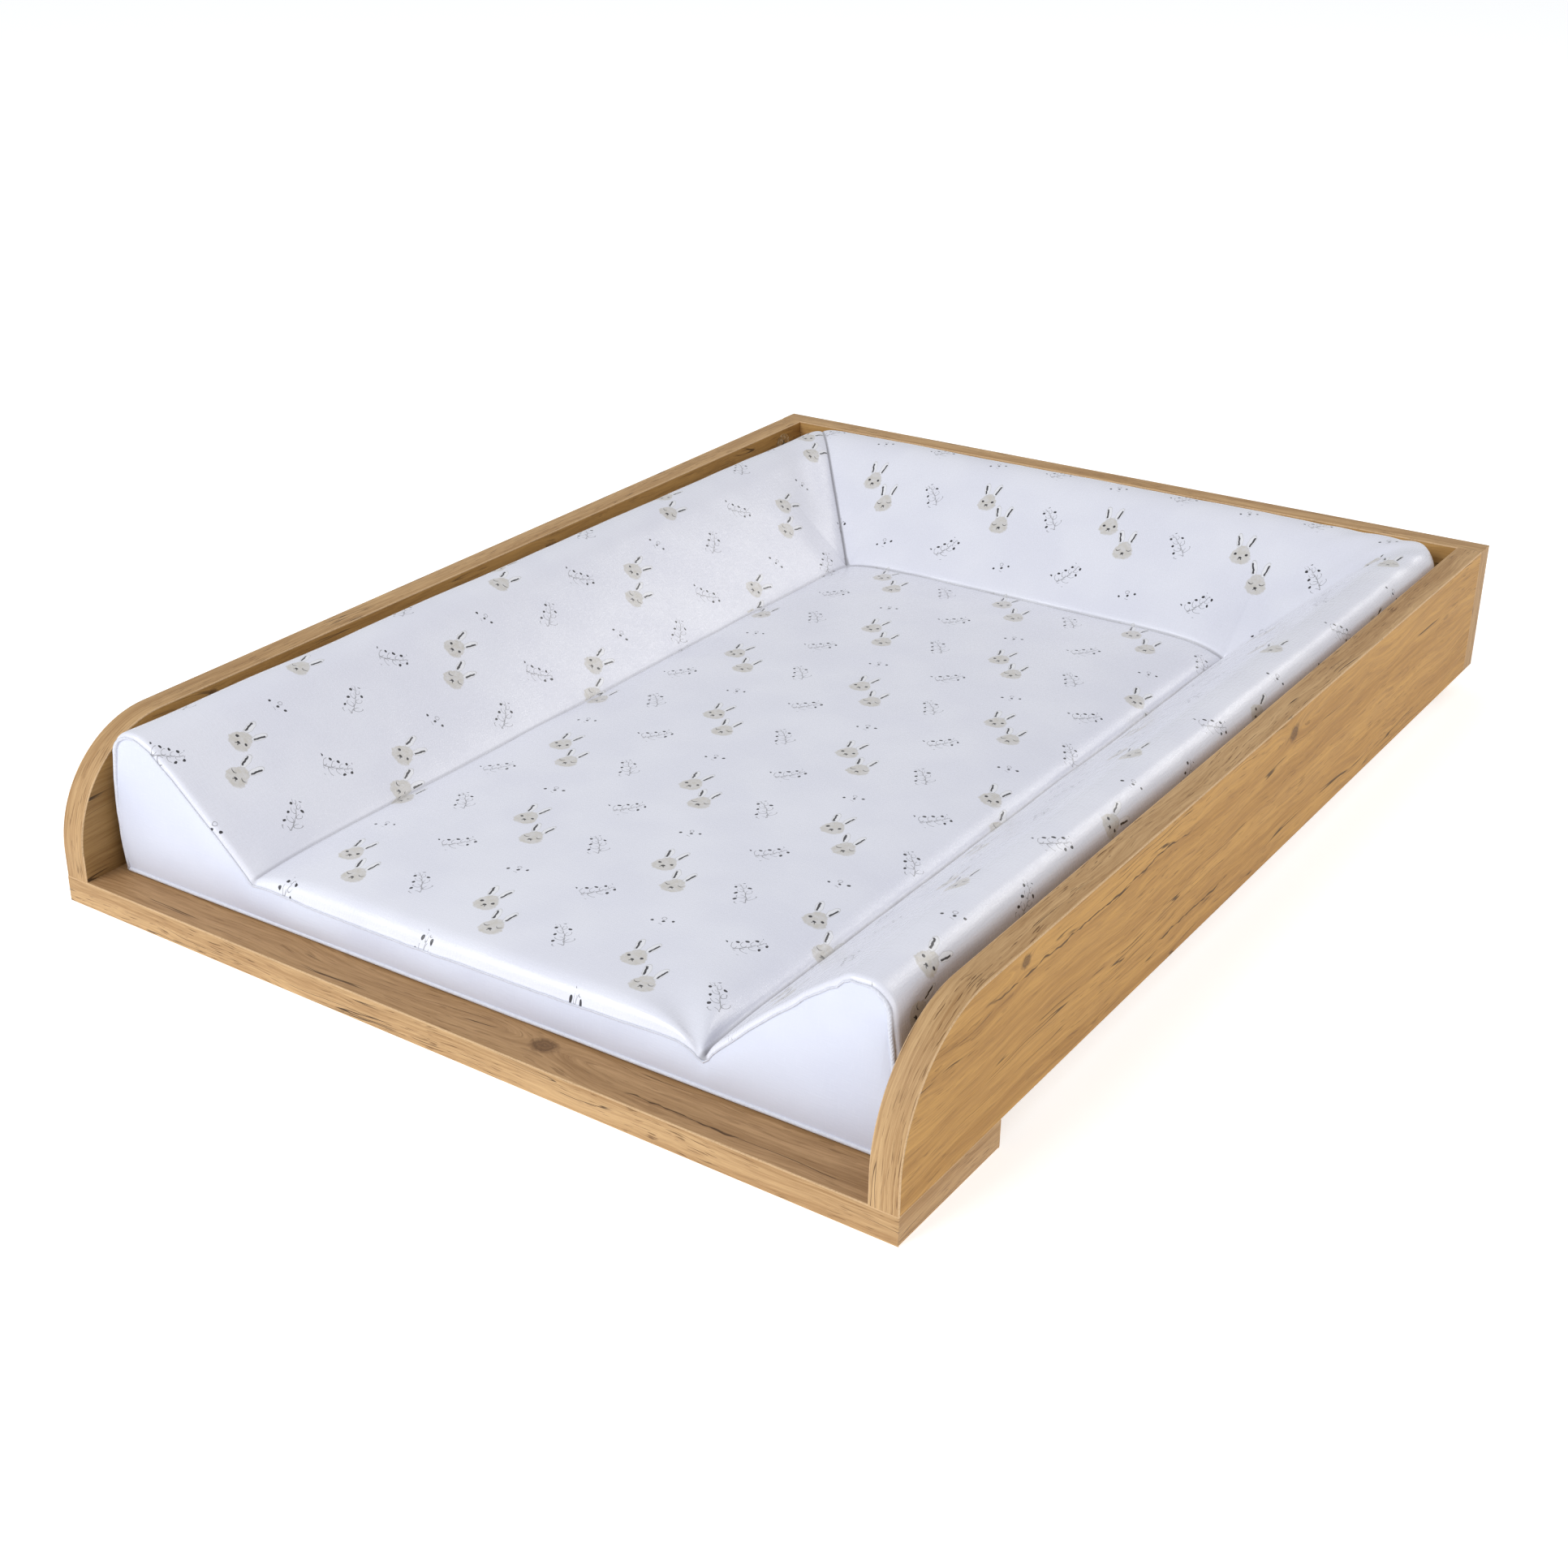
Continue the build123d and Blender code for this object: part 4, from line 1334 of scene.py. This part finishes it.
def crease_seams(mesh):
    """Keeps the valleys and the left mitre crisp under the subdivision."""
    last_step = min(edge_steps, row_count - 1 - valley_row)
    left_corner = valley_row * column_count + left_valley
    seams = set()
    for row in range(valley_row):
        for valley in (left_valley, right_valley):
            seams.add((row * column_count + valley, (row + 1) * column_count + valley))
    for column in range(left_valley, right_valley):
        near = valley_row * column_count + column
        seams.add((near, near + 1))
    for step in range(last_step):
        place = left_corner + step * (column_count - 1)
        seams.add((place, place + column_count - 1))
    crease = mesh.attributes.new("crease_edge", "FLOAT", "EDGE")
    for edge in mesh.edges:
        if tuple(sorted(edge.vertices)) in seams:
            crease.data[edge.index].value = 1.0
            edge.use_edge_sharp = True


def smooth(piece):
    smoother = piece.modifiers.new("smooth folds", "SUBSURF")
    smoother.levels = smoother.render_levels = 1


def build_top_sheet():
    points = cover_shape.reshape(-1, 3)
    cells = cells_of_cover()
    faces = [corners for corners, _ in cells]
    piece = add_piece("pad_top_cover", points, faces, printed_cotton, "pad")
    layer = piece.data.uv_layers.new(name="sheet")
    flat = np.zeros((len(piece.data.loops), 2), np.float32)
    for polygon, (_, on_back) in zip(piece.data.polygons, cells):
        for loop in polygon.loop_indices:
            point = piece.data.loops[loop].vertex_index
            flat[loop] = sheet_place(point // column_count, point % column_count, on_back)
    layer.data.foreach_set("uv", flat.ravel())
    # The seams map carries each point's distance to a seam and that seam's depth, for the painted
    # seam shade.
    add_map(piece.data, "seams", [seam_gap(*place[:2]) for place in cover_base.reshape(-1, 3)])
    crease_seams(piece.data)
    smooth(piece)
    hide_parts("pad_top_sheet")
    return piece


top_cover = build_top_sheet()
print("top cover:", len(top_cover.data.polygons), "faces")

# %% [markdown]
# The end panels hang between the sheet's seams and the base. Each panel's columns run straight
# down from the seam to the bottom edge. The foam pushes the cloth out a little between its seams.

# %% End panels and underside
panel_rows = 10
panel_belly, panel_waves = 0.0014, 0.0010
underside_sag = 0.0007
full_belly_height = 0.03  # a column at least this high bulges fully
crest_reach = 0.985  # the outer walls' columns share the last stretch of the bottom line


def end_panel(name, seam, outward, node, seed):
    """A plain panel from a seam curve straight down to the line between the curve's ends."""
    middle = (seam[0] + seam[-1]) / 2
    reach = np.array([crest_reach + (1 - crest_reach) * column[3] for column in columns])
    shares = (seam[:, 0] - middle[0]) * reach / (seam[-1, 0] - seam[0, 0]) + 0.5
    bottom = seam[0] + shares[:, None] * (seam[-1] - seam[0])
    points = []
    for step in range(panel_rows + 1):
        down = step / panel_rows
        for place, foot in zip(seam, bottom):
            point = place + (foot - place) * down
            fullness = min(1.0, np.linalg.norm(foot - place) / full_belly_height)
            belly = 4 * down * (1 - down) * fullness
            wave = ripple(point[0], 0, point[2], 0.05, seed) * panel_waves
            point[1] += outward * belly * (panel_belly + wave)
            points.append(point)
    faces = grid_faces(panel_rows + 1, len(seam))
    if outward > 0:
        faces = [face[::-1] for face in faces]
    piece = add_piece(name, points, faces, plain_cotton, "pad")
    smooth(piece)
    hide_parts(node)
    return piece


def underside(name):
    """The sheet under the foam, from one side's foot to the other, with a slight sag."""
    steps, rows_to_full_sag = 48, 12
    points = []
    for row in range(row_count):
        left, right = cover_shape[row, 0], cover_shape[row, -1]
        from_end = min(row, row_count - 1 - row)
        for step in range(steps + 1):
            share = step / steps
            point = left + share * (right - left)
            sag = 4 * share * (1 - share) * min(1, from_end / rows_to_full_sag)
            point[2] -= underside_sag * sag
            points.append(point)
    faces = [face[::-1] for face in grid_faces(row_count, steps + 1)]
    piece = add_piece(name, points, faces, underside_cloth, "pad")
    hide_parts("pad_base_sheet")
    return piece


front_cover = end_panel("pad_front_cover", cover_shape[0], -1, "pad_front_panel", 1.3)
rear_cover = end_panel("pad_rear_cover", cover_shape[-1], 1, "pad_rear_panel", 6.1)
base_cover = underside("pad_underside")
panel_width = float(2 * pad_half)
panel_height = float(wedge_top - pad_base)
slab_height_flat = slab_top - pad_base
front_area = panel_width * slab_height_flat
front_area += (wedge_foot + crest_flat) * (panel_height - slab_height_flat)
print("panels and underside in place")

# %% [markdown]
# A thin welt closes each seam. It is a rolled edge that stands out where the cloth turns over a
# crest and sinks into the seam elsewhere, so its radius changes along its way.

# %% Welts
around = 8  # points round a welt
sunk_radius, crest_radius, foot_radius = 0.0005, 0.0014, 0.0012
end_offset = 0.0003  # how far an end welt stands out from its seam
foot_rise, foot_waves = 0.0005, 0.0003
straight_points = 120  # points along the foot's front and rear edges


def add_welt(name, path, radii, node, closed=False):
    """A tube of changing radius along a path of points."""
    path = [Vector(p) for p in path]
    count = len(path)
    points, seam_map = [], []
    along = 0.0
    for index, place in enumerate(path):
        before = path[(index - 1) % count if closed else max(index - 1, 0)]
        after = path[(index + 1) % count if closed else min(index + 1, count - 1)]
        run = (after - before).normalized()
        if index:
            along += (place - path[index - 1]).length
        outward = Vector((0, -1 if place.y < 0 else 1, 0))
        if abs(run.dot(outward)) > 0.9:
            outward = Vector((math.copysign(1, place.x), 0, 0))
        first = (outward - run * run.dot(outward)).normalized()
        second = run.cross(first)
        for turn in range(around):
            angle = 2 * math.pi * turn / around
            direction = first * math.cos(angle) + second * math.sin(angle)
            points.append(place + direction * radii[index])
            seam_map.append((along, turn / around))
    if closed:
        faces = grid_faces(count, around, closed=True)
        last = (count - 1) * around
        for turn in range(around):
            after = (turn + 1) % around
            faces.append((last + turn, last + after, after, turn))
    else:
        faces = tube_faces(count, around)
    piece = add_piece(name, points, faces, welt_cloth, "pad", maps={"seam": seam_map})
    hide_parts(node)
    return piece


def end_seam(row, outward):
    """Path and radii of an end welt, pushed out a little from the seam."""
    seam = cover_shape[row] + np.array([0, outward * end_offset, 0])
    radii = []
    for _, _, angle, wall in columns:
        rolled = 1 - wall * 0.5 if wall else math.sin(angle)
        radii.append(sunk_radius + (crest_radius - sunk_radius) * rolled)
    return seam, radii


def base_seam():
    """Loop round the pad's foot, slightly wavy as a sewn edge is."""
    front_edge = np.linspace(cover_shape[0, 0], cover_shape[0, -1], straight_points)[:-1]
    right_edge = cover_shape[:-1, -1]
    rear_edge = np.linspace(cover_shape[-1, -1], cover_shape[-1, 0], straight_points)[:-1]
    left_edge = cover_shape[:0:-1, 0]
    loop = np.concatenate([front_edge, right_edge, rear_edge, left_edge])
    for point in loop:
        point[2] += foot_rise + foot_waves * ripple(point[0], point[1], 0, 0.045, 7.7)
    return loop


front_path, front_radii = end_seam(0, -1)
rear_path, rear_radii = end_seam(-1, 1)
base_path = base_seam()
front_welt = add_welt("pad_front_welt_roll", front_path, front_radii, "pad_front_welt")
rear_welt = add_welt("pad_rear_welt_roll", rear_path, rear_radii, "pad_rear_welt")
base_welt = add_welt("pad_base_welt_roll", base_path, [foot_radius] * len(base_path),
                     "pad_base_welt", closed=True)
print("welts:", front_welt.name, rear_welt.name, base_welt.name)

# %% [markdown]
# ## Foam filling
# Under the cover lie four pieces of cut polyether foam, a flat slab with three wedges glued on and
# mitred at the back. Each is a block with softly rounded edges. They are kept about a centimetre
# inside the cover, so that no fold or groove in the cloth can touch them.

# %% Foam material
def foam_finish():
    material, w, shader = new_finish("cut foam", Roughness=0.95, Specular_IOR_Level=0.15)
    position = w.millimetres()
    cells = w.put("ShaderNodeTexVoronoi", {"Vector": position, "Scale": 0.9}).outputs["Distance"]
    cloud = w.noise(position, 3.0, stretch=(0.03, 0.03, 0.03))
    colour = w.blend(cloud, srgb(226, 214, 172), srgb(240, 232, 204))
    # Painted shade: the foam's open pores are coloured darker, where shade falls into them.
    pit_shade = w.spread(cells, 0.15, 0.45, 0.35, 0.0)
    w.paint(shader, w.blend(pit_shade, colour, srgb(176, 160, 116)))
    w.emboss(shader, cells, strength=0.6, distance=0.0006)
    return material


cut_foam = foam_finish()
print("foam finish ready")

# %% Foam pieces
foam_gap = 0.008
foam_rounding = 0.004


def foam_block(name, lower, upper, node):
    """A block between two four-cornered outlines, with rounded edges."""
    points = [Vector((x + leaning(x, y), y, z)) for x, y, z in lower + upper]
    faces = [(3, 2, 1, 0), (4, 5, 6, 7)]
    faces += [(k, (k + 1) % 4, (k + 1) % 4 + 4, k + 4) for k in range(4)]
    piece = add_piece(name, points, faces, cut_foam, "pad")
    rounding = piece.modifiers.new("soft edges", "BEVEL")
    rounding.width = foam_rounding
    rounding.segments = 3
    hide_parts(node)


inner_front, inner_rear = pad_front + 0.013, pad_rear - foam_gap * 2
inner_half = pad_half - foam_gap - 0.002
slab_low, slab_high = pad_base + 0.004, slab_top - 0.012
wedge_low, wedge_high = slab_high + 0.0005, wedge_top - foam_gap
crest_from = wedge_foot - crest_flat + 0.006
corner_cut = 0.028


def rectangle(half_x, front_y, rear_y, z):
    return [(-half_x, front_y, z), (half_x, front_y, z), (half_x, rear_y, z), (-half_x, rear_y, z)]


def side_wedge_outline(side, from_valley, z):
    """Plan of a side wedge at one height, mitred where the back wedge begins."""
    inner, outer = valley_x + from_valley, inner_half
    near_y = valley_y + from_valley * rear_stretch - 0.001
    far_y = inner_rear - corner_cut
    plan = [(inner, inner_front), (outer, inner_front), (outer, far_y), (inner, near_y)]
    plan = plan if side > 0 else plan[::-1]
    return [(side * x, y, z) for x, y in plan]


def back_wedge_outline(from_valley, z):
    near_half = valley_x + from_valley - 0.003
    far_half = inner_half - corner_cut
    near_y = valley_y + from_valley * rear_stretch + 0.003
    return [(-near_half, near_y, z), (near_half, near_y, z), (far_half, inner_rear, z),
            (-far_half, inner_rear, z)]


foam_block("foam_slab_core", rectangle(inner_half, inner_front, inner_rear, slab_low),
           rectangle(inner_half, inner_front, inner_rear, slab_high), "foam_base_slab")
for side, word in ((-1, "left"), (1, "right")):
    foam_block(f"foam_{word}_wedge_core", side_wedge_outline(side, foam_gap, wedge_low),
               side_wedge_outline(side, crest_from, wedge_high), f"foam_wedge_{word}")
foam_block("foam_back_wedge_core", back_wedge_outline(foam_gap, wedge_low),
           back_wedge_outline(crest_from, wedge_high), "foam_wedge_back")
print("foam pieces: slab and three wedges")
